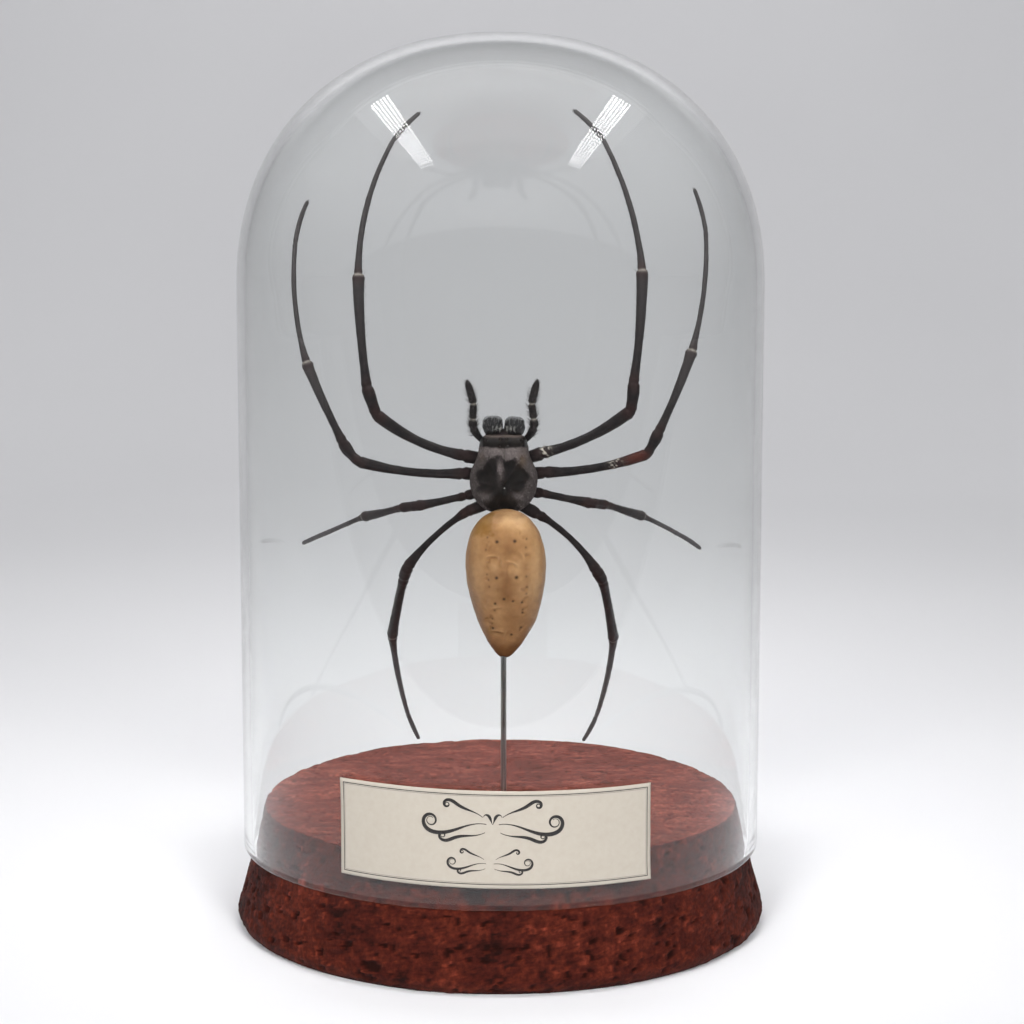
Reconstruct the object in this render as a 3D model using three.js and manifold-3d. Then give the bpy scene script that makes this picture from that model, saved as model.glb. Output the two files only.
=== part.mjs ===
// A golden silk orb weaver, mounted head up on a thin steel rod inside a glass dome on a cork base.
// Millimetres, +Z up. The origin is the middle of the base's underside.
// The spider's back faces -Y, its underside +Y, and its head end +Z.

import * as THREE from 'three';
import { mergeVertices } from 'three/addons/utils/BufferGeometryUtils.js';
import Module from 'manifold-3d';

const wasm = await Module();
wasm.setup();

// Clearance between pieces that touch.
const GAP = 0.3;

// Sides of the turned pieces, of a limb, and of a short plump piece.
const TURNED_SIDES = 48;
const LIMB_SIDES = 8;
const POD_SIDES = 16;

// The cork base: a flared plug whose waist takes the rim of the glass.
const CORK = {
  height: 23.5,
  footRadius: 50.6,
  bellyRadius: 51.4,
  bellyZ: 2.4,
  seatRadius: 47.95,
  topRadius: 46.1,
  edgeRound: 0.9,
};

// The glass dome: a straight wall under a crown that is a superellipse in section.
const GLASS = {
  radius: 50,
  wall: 1.7,
  rimZ: 14.7,
  shoulderZ: 121.6,
  crownHeight: 48,
  crownPower: 2.2,
  crownSteps: 10,
};

const ROD = { radius: 0.55, x: 0.6, depthInCork: 10, depthInSpider: 6, sides: 12 };

// The paper label on the front of the glass. It sits a little askew, as stuck by hand.
const LABEL = { bottomZ: 19.3, height: 17.4, thickness: 0.5, halfAngle: 32.9, turn: -1.2, slope: 0.013 };

// The spider's middle plane, and where its abdomen ends.
const SPIDER_X = 0.6;
const ABDOMEN_TIP_Z = 50.4;

// Plump pieces are stretched spheres. Radii are listed from the low end of the length to its high
// end: widths are half widths, backs reach towards -Y and bellies towards +Y from the middle line.
// blunt says how square each end is and square how square the section is, 2 being round. middleX is
// how far the piece leans aside.
const ABDOMEN = {
  length: 29.6,
  middleX: [0.2, 0.55, 0.45, 0.35, 0.3],
  widths: [4.8, 6.45, 7.45, 8.5, 9.6],
  backs: [3.6, 5.4, 6.5, 7.2, 7.4],
  bellies: [4.6, 6.4, 7.2, 7.6, 7.4],
  middleY: [0.3, 0.1, -0.7, -1.5, -2.4],
  blunt: [2, 2],
};
const CARAPACE = {
  lowZ: 78.8,
  length: 15.2,
  widths: [5.6, 6.35, 6.45, 4.95, 4.9],
  backs: [1.6, 3.3, 4.3, 4.7, 3.9],
  bellies: [0.9, 0.9, 0.9, 0.9, 0.9],
  middleY: [0.7, 0.5, 0.5, 0.5, 0.5],
  blunt: [3, 6],
};
const STERNUM = {
  lowZ: 81.2,
  length: 9,
  widths: [2.8, 3.2, 3.4, 3.3, 2.9],
  backs: [1.3, 1.3, 1.3, 1.3, 1.3],
  bellies: [1.2, 1.5, 1.6, 1.5, 1.2],
  middleY: [3.05, 3.05, 3.05, 3.05, 3.05],
  blunt: [2.8, 4],
};
const ENDITES = {
  lowZ: 90.55,
  length: 3.2,
  widths: [1.8, 2.3, 2.7, 2.9, 2.8],
  backs: [1.2, 1.3, 1.3, 1.3, 1.2],
  bellies: [1.2, 1.4, 1.5, 1.4, 1.1],
  middleY: [3.1, 3.1, 3.2, 3.3, 3.4],
  blunt: [4, 4],
};
// The chelicera's length runs from the back of the head down towards the mouth.
const CHELICERA = {
  length: 7.4,
  widths: [1.9, 1.95, 1.95, 1.85, 1.6],
  backs: [1.5, 1.55, 1.55, 1.5, 1.4],
  bellies: [1.5, 1.55, 1.55, 1.5, 1.3],
  middleY: [0, 0, 0, 0, 0],
  blunt: [2.6, 2.6],
  square: 3,
  x: 2.13,
  y: 2.2,
  z: 95.72,
};
const FANG = { radius: 0.5, length: 3.6, curl: 70, steps: 5, sides: 6 };
const PEDICEL = { radius: 0.85, y: 2.55, lowZ: 77.4, highZ: 80.85, sides: 10 };

// Spinnerets: cones round a button, on the underside just above the abdomen's tip.
const SPINNERETS = { z: 53.6, y: 4.65, button: 1.15, coneLength: 1.7, coneRadius: 0.55, spread: 26 };

// Eyes: two rows of four, set in sockets by the front edge of the back. x is out from the middle.
const EYES = [
  { name: 'front_median', x: 0.62, z: 93.35, radius: 0.36 },
  { name: 'rear_median', x: 0.72, z: 92.05, radius: 0.34 },
  { name: 'front_lateral', x: 3.35, z: 93.0, radius: 0.3 },
  { name: 'rear_lateral', x: 3.75, z: 92.1, radius: 0.3 },
];
const EYE_SOCKET_GAP = 0.14;

// Headings are degrees above straight out to the side; leans are degrees towards the underside.
// A bend is how far a length curves from end to end, in degrees, headward being positive.
// Radii stand at even steps along each length, from the body outwards.
const LEG_PAIRS = [
  {
    number: 1,
    root: { x: 3.4, y: 3.3, z: 88.85 },
    lengths: { hip: 4.6, femur: 19, patella: 5.5, tibia: 21.5, metatarsus: 28, tarsus: 7.9 },
    leans: { hip: -16, femur: -9, patella: 5, tibia: 8, metatarsus: 15, tarsus: 19 },
    left: {
      headings: { hip: 12.2, femur: 26.2, patella: 71.2, tibia: 85.4, metatarsus: 103.9, tarsus: 132.1 },
      bends: { hip: 0, femur: 31, patella: 4, tibia: 8, metatarsus: 29, tarsus: 15 },
    },
    right: {
      headings: { hip: 18.5, femur: 26.5, patella: 83.5, tibia: 85.5, metatarsus: 106.3, tarsus: 134.3 },
      bends: { hip: 0, femur: 25, patella: 15, tibia: 9, metatarsus: 23, tarsus: 11 },
    },
    radii: {
      hip: [1.1, 1.22, 1.25, 1.2],
      femur: [1.2, 0.95, 0.92, 0.9, 1.03, 1.17, 1.2],
      patella: [1.05, 1.08, 1.2, 1.1],
      tibia: [1, 0.83, 0.79, 0.88, 0.97, 1.06, 1.18],
      metatarsus: [0.8, 0.6, 0.57, 0.55, 0.5, 0.47, 0.46],
      tarsus: [0.46, 0.47, 0.46, 0.38],
    },
  },
  {
    number: 2,
    root: { x: 3.88, y: 3.2, z: 85.8 },
    lengths: { hip: 4.3, femur: 20.3, patella: 4.9, tibia: 16.8, metatarsus: 24.3, tarsus: 9.1 },
    leans: { hip: -15, femur: -9, patella: 5, tibia: 10, metatarsus: 17, tarsus: 20 },
    left: {
      headings: { hip: 7.1, femur: 7.5, patella: 50.6, tibia: 64.4, metatarsus: 83.1, tarsus: 104.8 },
      bends: { hip: 0, femur: 20, patella: 27, tibia: 5, metatarsus: 23, tarsus: 19 },
    },
    right: {
      headings: { hip: 10.1, femur: 11.1, patella: 62.1, tibia: 67.1, metatarsus: 81.8, tarsus: 103.4 },
      bends: { hip: 0, femur: 21, patella: 11, tibia: 8, metatarsus: 19, tarsus: 14 },
    },
    radii: {
      hip: [1.1, 1.22, 1.2, 1.15],
      femur: [1.15, 0.92, 0.83, 0.81, 0.86, 1.03, 1.08],
      patella: [0.98, 0.93, 1.15, 1.05],
      tibia: [0.95, 0.77, 0.75, 0.82, 0.89, 0.97, 1.14],
      metatarsus: [0.8, 0.55, 0.51, 0.49, 0.49, 0.46, 0.45],
      tarsus: [0.45, 0.46, 0.46, 0.38],
    },
  },
  {
    number: 3,
    root: { x: 3.35, y: 3.05, z: 83.05 },
    lengths: { hip: 4.4, femur: 10.4, patella: 3.8, tibia: 10.4, metatarsus: 13, tarsus: 8.9 },
    leans: { hip: -7, femur: -28, patella: 31, tibia: 40, metatarsus: 45, tarsus: 43 },
    left: {
      headings: { hip: -16.5, femur: -8.2, patella: -10.6, tibia: -18.9, metatarsus: -28.6, tarsus: -27.9 },
      bends: { hip: 0, femur: 3, patella: -2, tibia: 6, metatarsus: 0, tarsus: -3 },
    },
    right: {
      headings: { hip: -9.8, femur: -7.9, patella: -10.7, tibia: -22.3, metatarsus: -31.5, tarsus: -35.9 },
      bends: { hip: 0, femur: 1, patella: -2, tibia: 2, metatarsus: -5, tarsus: -8 },
    },
    radii: {
      hip: [0.95, 1.05, 1.02, 0.9],
      femur: [0.88, 0.74, 0.71, 0.72, 0.8, 0.93, 1.1],
      patella: [1, 0.92, 0.95, 0.88],
      tibia: [0.75, 0.64, 0.67, 0.75, 0.83, 0.9, 1],
      metatarsus: [0.65, 0.48, 0.45, 0.45, 0.44, 0.44, 0.44],
      tarsus: [0.44, 0.46, 0.46, 0.38],
    },
  },
  {
    number: 4,
    root: { x: 2.3, y: 3.2, z: 80.6 },
    lengths: { hip: 5.2, femur: 16, patella: 3.5, tibia: 17.1, metatarsus: 27.8, tarsus: 9.4 },
    leans: { hip: 0, femur: 4, patella: 34, tibia: 37, metatarsus: 43, tarsus: 42 },
    left: {
      headings: { hip: -21.7, femur: -43, patella: -72.2, tibia: -77.8, metatarsus: -96.2, tarsus: -106.7 },
      bends: { hip: 0, femur: -20, patella: -5, tibia: -5, metatarsus: -9, tarsus: -5 },
    },
    right: {
      headings: { hip: -28.7, femur: -44.5, patella: -60.8, tibia: -78.4, metatarsus: -97.2, tarsus: -110.6 },
      bends: { hip: 0, femur: -27, patella: 0, tibia: -4, metatarsus: -11, tarsus: -9 },
    },
    radii: {
      hip: [1.05, 1.15, 1.15, 1.05],
      femur: [1, 0.68, 0.61, 0.62, 0.68, 0.84, 1.12],
      patella: [1.1, 1.15, 1.12, 1],
      tibia: [1, 0.88, 0.88, 0.89, 0.94, 1, 1.12],
      metatarsus: [0.9, 0.66, 0.62, 0.58, 0.54, 0.48, 0.46],
      tarsus: [0.46, 0.48, 0.46, 0.38],
    },
  },
];

// The palps are one jointed piece each, four lengths long.
const PALP = {
  root: { x: 3.5, y: 3.5, z: 92.1 },
  lengths: { femur: 4.3, patella: 1.7, tibia: 3.0, tarsus: 4.6 },
  leans: { femur: -24, patella: -6, tibia: -4, tarsus: -2 },
  left: {
    headings: { femur: 52, patella: 88, tibia: 93, tarsus: 74 },
    bends: { femur: 34, patella: 6, tibia: 0, tarsus: -4 },
  },
  right: {
    headings: { femur: 53, patella: 91, tibia: 98, tarsus: 76 },
    bends: { femur: 34, patella: 6, tibia: 0, tarsus: -4 },
  },
  radii: {
    femur: [0.5, 0.62, 0.74, 0.76],
    patella: [0.76, 0.8, 0.66],
    tibia: [0.64, 0.7, 0.72, 0.62],
    tarsus: [0.66, 0.76, 0.74, 0.66, 0.4],
  },
};

const COLOURS = {
  cork: { color: 0x6a2a1c, roughness: 0.9, metalness: 0 },
  glass: { color: 0xe8eef0, roughness: 0.05, metalness: 0, transparent: true, opacity: 0.3 },
  steel: { color: 0x9a9a98, roughness: 0.3, metalness: 1 },
  paper: { color: 0xddd6c4, roughness: 0.8, metalness: 0 },
  abdomen: { color: 0xb98f56, roughness: 0.5, metalness: 0 },
  carapace: { color: 0x4a4542, roughness: 0.6, metalness: 0 },
  limb: { color: 0x1d1817, roughness: 0.4, metalness: 0 },
  fang: { color: 0x120c0b, roughness: 0.2, metalness: 0 },
  eye: { color: 0x0a0808, roughness: 0.05, metalness: 0 },
};

function finish(name) {
  return new THREE.MeshStandardMaterial({ name, ...COLOURS[name] });
}

// Merges shared corners, drops collapsed triangles and turns the faces out.
function closed(geometry) {
  const bare = new THREE.BufferGeometry();
  bare.setAttribute('position', geometry.getAttribute('position').clone());
  bare.setIndex(geometry.getIndex());
  const merged = mergeVertices(bare, 1e-4);
  const index = merged.getIndex().array;
  const corner = [new THREE.Vector3(), new THREE.Vector3(), new THREE.Vector3()];
  const kept = [];
  let volume = 0;
  for (let i = 0; i < index.length; i += 3) {
    const [a, b, c] = index.slice(i, i + 3);
    if (a === b || b === c || c === a) continue;
    kept.push([a, b, c]);
    corner.forEach((point, k) => point.fromBufferAttribute(merged.getAttribute('position'), [a, b, c][k]));
    volume += corner[0].dot(corner[1].clone().cross(corner[2]));
  }
  const turned = volume < 0 ? kept.map(([a, b, c]) => [a, c, b]) : kept;
  merged.setIndex(turned.flat());
  return merged;
}

function toManifold(geometry) {
  const vertProperties = Float32Array.from(geometry.getAttribute('position').array);
  const triVerts = Uint32Array.from(geometry.getIndex().array);
  return new wasm.Manifold(new wasm.Mesh({ numProp: 3, vertProperties, triVerts }));
}

// The largest closed body of a manifold, as a geometry.
function fromManifold(manifold) {
  const bodies = manifold.decompose();
  const largest = bodies.reduce((best, body) => (body.volume() > best.volume() ? body : best));
  const mesh = largest.getMesh();
  const geometry = new THREE.BufferGeometry();
  geometry.setAttribute('position', new THREE.BufferAttribute(Float32Array.from(mesh.vertProperties), 3));
  geometry.setIndex(Array.from(mesh.triVerts));
  return geometry;
}

function joined(geometries) {
  return fromManifold(geometries.map(toManifold).reduce((sum, piece) => sum.add(piece)));
}

function cut(geometry, tools) {
  return fromManifold(tools.map(toManifold).reduce((rest, tool) => rest.subtract(tool), toManifold(geometry)));
}

function turned(profile, sides = TURNED_SIDES) {
  const points = profile.map(([radius, z]) => new THREE.Vector2(radius, z));
  return closed(new THREE.LatheGeometry(points, sides).rotateX(Math.PI / 2));
}

function upright(radius, lowZ, highZ, sides, x = 0, y = 0) {
  const cylinder = new THREE.CylinderGeometry(radius, radius, highZ - lowZ, sides);
  return closed(cylinder.rotateX(Math.PI / 2).translate(x, y, (lowZ + highZ) / 2));
}

// A smooth value at t from 0 to 1 through evenly spaced samples.
function along(values, t) {
  const curve = new THREE.SplineCurve(values.map((value, i) => new THREE.Vector2(i, value)));
  return curve.getPoint(t).y;
}

// A stretched sphere, its length along Z from 0.
function pod(shape, sides = POD_SIDES, rings = 12) {
  const geometry = closed(new THREE.SphereGeometry(1, sides, rings).rotateX(Math.PI / 2));
  const position = geometry.getAttribute('position');
  const squared = (value) => Math.sign(value) * Math.abs(value) ** (2 / (shape.square ?? 2));
  for (let i = 0; i < position.count; i++) {
    const t = THREE.MathUtils.clamp(position.getZ(i), -1, 1);
    const share = (t + 1) / 2;
    const reach = Math.hypot(position.getX(i), position.getY(i));
    const power = t < 0 ? shape.blunt[0] : shape.blunt[1];
    const spread = reach > 1e-6 ? (1 - Math.abs(t) ** power) ** (1 / power) : 0;
    const across = reach > 1e-6 ? squared(position.getX(i) / reach) : 0;
    const deep = reach > 1e-6 ? squared(position.getY(i) / reach) : 0;
    const side = position.getY(i) < 0 ? shape.backs : shape.bellies;
    const aside = shape.middleX ? along(shape.middleX, share) : 0;
    const x = across * spread * along(shape.widths, share) + aside;
    const y = deep * spread * along(side, share) + along(shape.middleY, share);
    position.setXYZ(i, x, y, share * shape.length);
  }
  return geometry;
}

// Directions of a limb: out to its side, headward by the heading, underside-ward by the lean.
function direction(side, heading, lean) {
  const up = THREE.MathUtils.degToRad(heading);
  const under = THREE.MathUtils.degToRad(lean);
  return new THREE.Vector3(side * Math.cos(up) * Math.cos(under), Math.sin(under), Math.sin(up) * Math.cos(under));
}

// The middle points and radii of each length of a limb, in order from its root.
function limbLengths(names, limb, label, side) {
  const { headings, bends } = limb[label];
  let at = new THREE.Vector3(SPIDER_X + side * limb.root.x, limb.root.y, limb.root.z);
  return names.map((name) => {
    const steps = limb.radii[name].length - 1;
    const points = [at.clone()];
    for (let i = 0; i < steps; i++) {
      const heading = headings[name] + bends[name] * ((i + 0.5) / steps - 0.5);
      const step = direction(side, heading, limb.leans[name]).multiplyScalar(limb.lengths[name] / steps);
      at = at.clone().add(step);
      points.push(at.clone());
    }
    return { points, radii: limb.radii[name] };
  });
}

// Stations along a run of lengths. The joint between two lengths is one shared station.
function runOf(lengths) {
  const points = [...lengths[0].points];
  const radii = [...lengths[0].radii];
  lengths.slice(1).forEach((length) => {
    points.push(...length.points.slice(1));
    radii.push(...length.radii.slice(1));
  });
  return { points, radii };
}

// A tapered tube: a unit cylinder whose rings are set along the stations, square to the way through.
// before and after are the neighbouring points, which mitre the end faces.
function limbTube({ points, radii }, sides, before, after) {
  const last = points.length - 1;
  const rings = points.map((point, i) => {
    const from = i > 0 ? points[i - 1] : (before ?? point);
    const to = i < last ? points[i + 1] : (after ?? point);
    const into = point.clone().sub(from).normalize();
    const outOf = to.clone().sub(point).normalize();
    const tangent = into.add(outOf).normalize();
    const across = new THREE.Vector3(0, 1, 0).addScaledVector(tangent, -tangent.y).normalize();
    return { tangent, across, third: across.clone().cross(tangent) };
  });
  const trimmed = points.map((point) => point.clone());
  if (before) trimmed[0].addScaledVector(rings[0].tangent, GAP / 2);
  if (after) trimmed[last].addScaledVector(rings[last].tangent, -GAP / 2);
  const geometry = closed(new THREE.CylinderGeometry(1, 1, 1, sides, last));
  const position = geometry.getAttribute('position');
  for (let i = 0; i < position.count; i++) {
    const station = Math.round((position.getY(i) + 0.5) * last);
    const { across, third } = rings[station];
    const place = trimmed[station].clone();
    place.addScaledVector(across, position.getX(i) * radii[station]);
    place.addScaledVector(third, position.getZ(i) * radii[station]);
    position.setXYZ(i, place.x, place.y, place.z);
  }
  return closed(geometry);
}

function piece(name, geometry, material) {
  const mesh = new THREE.Mesh(geometry, material);
  mesh.name = name;
  return mesh;
}

function corkBase() {
  const round = CORK.edgeRound;
  const profile = [
    [0, 0],
    [CORK.footRadius - round, 0],
    [CORK.footRadius, round * 0.4],
    [CORK.bellyRadius, CORK.bellyZ],
    [CORK.seatRadius, GLASS.rimZ - 0.1],
    [CORK.topRadius, CORK.height - round * 0.4],
    [CORK.topRadius - round * 0.5, CORK.height],
    [0, CORK.height],
  ];
  const socketFloor = CORK.height - ROD.depthInCork;
  const socket = upright(ROD.radius + GAP, socketFloor, CORK.height + 1, ROD.sides, ROD.x);
  return piece('cork_base', cut(turned(profile), [socket]), finish('cork'));
}

// One face of the glass, inset from the outside by the wall: straight, then round to the top.
function glassFace(inset) {
  const radius = GLASS.radius - inset;
  const height = GLASS.crownHeight - inset;
  const points = [[radius, GLASS.shoulderZ * 0.55], [radius, GLASS.shoulderZ]];
  for (let i = 1; i <= GLASS.crownSteps; i++) {
    const angle = (i / GLASS.crownSteps) * (Math.PI / 2);
    const out = radius * Math.cos(angle) ** (2 / GLASS.crownPower);
    const up = height * Math.sin(angle) ** (2 / GLASS.crownPower);
    points.push([i === GLASS.crownSteps ? 0 : out, GLASS.shoulderZ + up]);
  }
  return points;
}

function glassDome() {
  const bead = GLASS.wall * 0.3;
  const inner = GLASS.radius - GLASS.wall;
  const rim = [
    [inner, GLASS.rimZ + bead],
    [inner + bead, GLASS.rimZ],
    [GLASS.radius - bead, GLASS.rimZ],
    [GLASS.radius, GLASS.rimZ + bead],
  ];
  const profile = [...glassFace(GLASS.wall).reverse(), ...rim, ...glassFace(0)];
  return piece('glass_dome', turned(profile), finish('glass'));
}

function steelRod() {
  const low = CORK.height - ROD.depthInCork + GAP;
  const high = ABDOMEN_TIP_Z + ROD.depthInSpider - GAP;
  return piece('steel_rod', upright(ROD.radius, low, high, ROD.sides, ROD.x), finish('steel'));
}

function paperLabel() {
  const inner = GLASS.radius + GAP;
  const outer = inner + LABEL.thickness;
  const middle = -Math.PI / 2 + THREE.MathUtils.degToRad(LABEL.turn);
  const half = THREE.MathUtils.degToRad(LABEL.halfAngle);
  const shape = new THREE.Shape();
  shape.absarc(0, 0, outer, middle - half, middle + half, false);
  shape.absarc(0, 0, inner, middle + half, middle - half, true);
  shape.closePath();
  const geometry = closed(new THREE.ExtrudeGeometry(shape, {
    depth: LABEL.height,
    bevelEnabled: false,
    curveSegments: 20,
  }).translate(0, 0, LABEL.bottomZ));
  const position = geometry.getAttribute('position');
  for (let i = 0; i < position.count; i++) {
    position.setZ(i, position.getZ(i) - LABEL.slope * position.getX(i));
  }
  return piece('label', geometry, finish('paper'));
}

function carapaceSolid(grow = 0) {
  const grown = (values) => values.map((value) => value + grow);
  const shape = {
    ...CARAPACE,
    widths: grown(CARAPACE.widths),
    backs: grown(CARAPACE.backs),
    bellies: grown(CARAPACE.bellies),
    length: CARAPACE.length + 2 * grow,
  };
  return pod(shape, 28, 16).translate(SPIDER_X, 0, CARAPACE.lowZ - grow);
}

// Depth of the carapace's back at a place on its plan, found along Y by the pod's own formula.
function backAt(x, z) {
  const share = (z - CARAPACE.lowZ) / CARAPACE.length;
  const t = 2 * share - 1;
  const power = t < 0 ? CARAPACE.blunt[0] : CARAPACE.blunt[1];
  const spread = (1 - Math.abs(t) ** power) ** (1 / power);
  const out = Math.min(x / (spread * along(CARAPACE.widths, share)), 0.999);
  return along(CARAPACE.middleY, share) - spread * along(CARAPACE.backs, share) * Math.sqrt(1 - out ** 2);
}

function pedicelSolid(grow = 0) {
  const { radius, lowZ, highZ, sides, y } = PEDICEL;
  return upright(radius + grow, lowZ - grow, highZ + grow, sides, SPIDER_X, y);
}

function eyeParts() {
  const parts = [];
  for (const eye of EYES) {
    for (const [label, side] of [['left', -1], ['right', 1]]) {
      const place = [SPIDER_X + side * eye.x, backAt(eye.x, eye.z), eye.z];
      const ball = (radius) => closed(new THREE.SphereGeometry(radius, 8, 6)).translate(...place);
      parts.push({
        mesh: piece(`eye_${eye.name}_${label}`, ball(eye.radius), finish('eye')),
        socket: ball(eye.radius + EYE_SOCKET_GAP),
      });
    }
  }
  return parts;
}

function abdomen() {
  const body = pod(ABDOMEN, 24, 18).translate(SPIDER_X, 0, ABDOMEN_TIP_Z);
  const boreTop = ABDOMEN_TIP_Z + ROD.depthInSpider;
  const bore = upright(ROD.radius + GAP, ABDOMEN_TIP_Z - 2, boreTop, ROD.sides, ROD.x);
  return piece('abdomen', cut(body, [carapaceSolid(GAP), pedicelSolid(GAP), bore]), finish('abdomen'));
}

// Three pairs of short cones that lean together round a low button.
function spinnerets() {
  const { button, coneLength, coneRadius, spread } = SPINNERETS;
  const base = closed(new THREE.SphereGeometry(button, 12, 8).scale(1, 0.6, 1));
  const cones = Array.from({ length: 6 }, (_, i) => {
    const cone = new THREE.CylinderGeometry(coneRadius * 0.45, coneRadius, coneLength, 6);
    cone.translate(0, coneLength / 2, 0).rotateX(-THREE.MathUtils.degToRad(spread) * 0.3);
    return closed(cone.translate(0, 0, button * 0.55).rotateY((i * Math.PI) / 3));
  });
  const cluster = joined([base, ...cones]);
  cluster.rotateX(THREE.MathUtils.degToRad(-spread));
  return piece('spinnerets', cluster.translate(SPIDER_X, SPINNERETS.y, SPINNERETS.z), finish('limb'));
}

function chelicera(label, side) {
  const mesh = piece(`chelicera_${label}`, pod(CHELICERA, 14, 12), finish('limb'));
  mesh.position.set(SPIDER_X + side * CHELICERA.x, CHELICERA.y - CHELICERA.length / 2, CHELICERA.z);
  mesh.rotation.x = -Math.PI / 2;
  return mesh;
}

// The fang hangs from the low end of its chelicera and curls in towards the mouth.
function fang(label, side) {
  const points = [new THREE.Vector3(
    SPIDER_X + side * CHELICERA.x,
    CHELICERA.y + CHELICERA.length / 2 + GAP,
    CHELICERA.z - 0.2,
  )];
  const radii = [FANG.radius];
  for (let i = 0; i < FANG.steps; i++) {
    const curl = THREE.MathUtils.degToRad(FANG.curl * (i / (FANG.steps - 1)));
    const step = new THREE.Vector3(-side * 0.35 * Math.sin(curl), Math.cos(curl), -Math.sin(curl));
    points.push(points[i].clone().addScaledVector(step.normalize(), FANG.length / FANG.steps));
    radii.push(FANG.radius * (1 - 0.8 * ((i + 1) / FANG.steps)));
  }
  return piece(`fang_${label}`, swept(points, radii, FANG.sides), finish('fang'));
}

// A tapered tube along points that turn about the width of the body.
function swept(points, radii, sides) {
  const last = points.length - 1;
  const geometry = closed(new THREE.CylinderGeometry(1, 1, 1, sides, last));
  const position = geometry.getAttribute('position');
  for (let i = 0; i < position.count; i++) {
    const station = Math.round((position.getY(i) + 0.5) * last);
    const from = points[Math.max(station - 1, 0)];
    const to = points[Math.min(station + 1, last)];
    const tangent = to.clone().sub(from).normalize();
    const across = new THREE.Vector3(1, 0, 0).addScaledVector(tangent, -tangent.x).normalize();
    const third = across.clone().cross(tangent);
    const place = points[station].clone();
    place.addScaledVector(across, position.getX(i) * radii[station]);
    place.addScaledVector(third, position.getZ(i) * radii[station]);
    position.setXYZ(i, place.x, place.y, place.z);
  }
  return closed(geometry);
}

function palp(label, side) {
  const names = ['femur', 'patella', 'tibia', 'tarsus'];
  const lengths = limbLengths(names, PALP, label, side);
  return piece(`palp_${label}`, limbTube(runOf(lengths), LIMB_SIDES), finish('limb'));
}

// A leg is four pieces: hip, femur, patella with tibia, and metatarsus with tarsus.
function leg(pair, label, side) {
  const names = ['hip', 'femur', 'patella', 'tibia', 'metatarsus', 'tarsus'];
  const [hip, femur, patella, tibia, metatarsus, tarsus] = limbLengths(names, pair, label, side);
  const runs = [
    { part: 'hip', run: hip },
    { part: 'femur', run: femur },
    { part: 'tibia', run: runOf([patella, tibia]) },
    { part: 'foot', run: runOf([metatarsus, tarsus]) },
  ];
  const group = new THREE.Group();
  runs.forEach(({ part, run }, i) => {
    const before = runs[i - 1]?.run.points.at(-2);
    const after = runs[i + 1]?.run.points[1];
    const name = `leg${pair.number}_${label}_${part}`;
    group.add(piece(name, limbTube(run, LIMB_SIDES, before, after), finish('limb')));
  });
  return group;
}

function spider() {
  const group = new THREE.Group();
  const eyes = eyeParts();
  const head = cut(carapaceSolid(), eyes.map((eye) => eye.socket));
  group.add(piece('carapace', head, finish('carapace')));
  group.add(...eyes.map((eye) => eye.mesh));
  group.add(piece('sternum', pod(STERNUM, 16, 8).translate(SPIDER_X, 0, STERNUM.lowZ), finish('limb')));
  group.add(piece('endites', pod(ENDITES, 14, 8).translate(SPIDER_X, 0, ENDITES.lowZ), finish('limb')));
  group.add(piece('pedicel', pedicelSolid(), finish('limb')));
  group.add(abdomen(), spinnerets());
  for (const [label, side] of [['left', -1], ['right', 1]]) {
    group.add(chelicera(label, side), fang(label, side), palp(label, side));
    LEG_PAIRS.forEach((pair) => group.add(leg(pair, label, side)));
  }
  return group;
}

const model = new THREE.Group();
model.add(corkBase(), glassDome(), steelRod(), paperLabel(), spider());

export default model;
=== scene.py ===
# %% [markdown]
# # A golden silk orb weaver under a glass dome
#
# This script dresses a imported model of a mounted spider: a dried orb weaver, head up on a steel
# rod, over a red cork base and inside a clear glass dome with a paper label. Shapes are worked out
# in millimetres with numpy and put into Blender in metres, in the frame of the solids: +Z is up,
# the viewer is on the -Y side, and the origin is the middle of the cork's underside.

# %% Load the frame
import bpy
import numpy as np
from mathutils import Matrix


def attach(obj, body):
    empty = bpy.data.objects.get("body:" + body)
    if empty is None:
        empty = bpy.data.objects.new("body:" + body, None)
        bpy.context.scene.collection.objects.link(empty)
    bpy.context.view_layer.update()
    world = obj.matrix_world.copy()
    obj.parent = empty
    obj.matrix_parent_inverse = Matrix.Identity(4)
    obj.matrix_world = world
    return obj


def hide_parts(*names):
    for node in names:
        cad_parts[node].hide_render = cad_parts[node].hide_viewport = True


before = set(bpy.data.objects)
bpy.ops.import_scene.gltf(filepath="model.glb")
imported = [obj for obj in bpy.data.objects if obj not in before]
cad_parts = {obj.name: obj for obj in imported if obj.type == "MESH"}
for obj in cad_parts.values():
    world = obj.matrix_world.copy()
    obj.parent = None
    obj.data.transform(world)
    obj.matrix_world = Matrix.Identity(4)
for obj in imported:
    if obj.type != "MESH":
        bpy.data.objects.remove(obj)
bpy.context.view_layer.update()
print("nodes in the frame:", len(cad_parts))

# %% [markdown]
# ## The sizes
#
# The solids were made from a few driving sizes, and the same sizes are used here, so that every
# skin lies where its solid is. A plump piece is a stretched sphere: its radii are listed from the
# low end of its length to the high end. widths are half widths, backs reach to -Y, bellies to +Y.

# %% Case and mount sizes, in millimetres
MM = 0.001
CORK = dict(height=23.5, foot=50.6, belly=51.4, belly_z=2.4, seat=47.95, top=46.1, edge=0.9)
GLASS = dict(radius=50.0, wall=1.7, rim_z=14.7, shoulder_z=121.6, crown=48.0, power=2.2)
ROD = dict(radius=0.55, x=0.6, low_z=13.8, high_z=56.1)
LABEL = dict(low_z=19.3, height=17.4, half_angle=32.9, turn=-1.2, slope=0.013, thick=0.18, gap=0.3)
SPIDER_X = 0.6
print("dome height:", GLASS["shoulder_z"] + GLASS["crown"], "mm")

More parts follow.
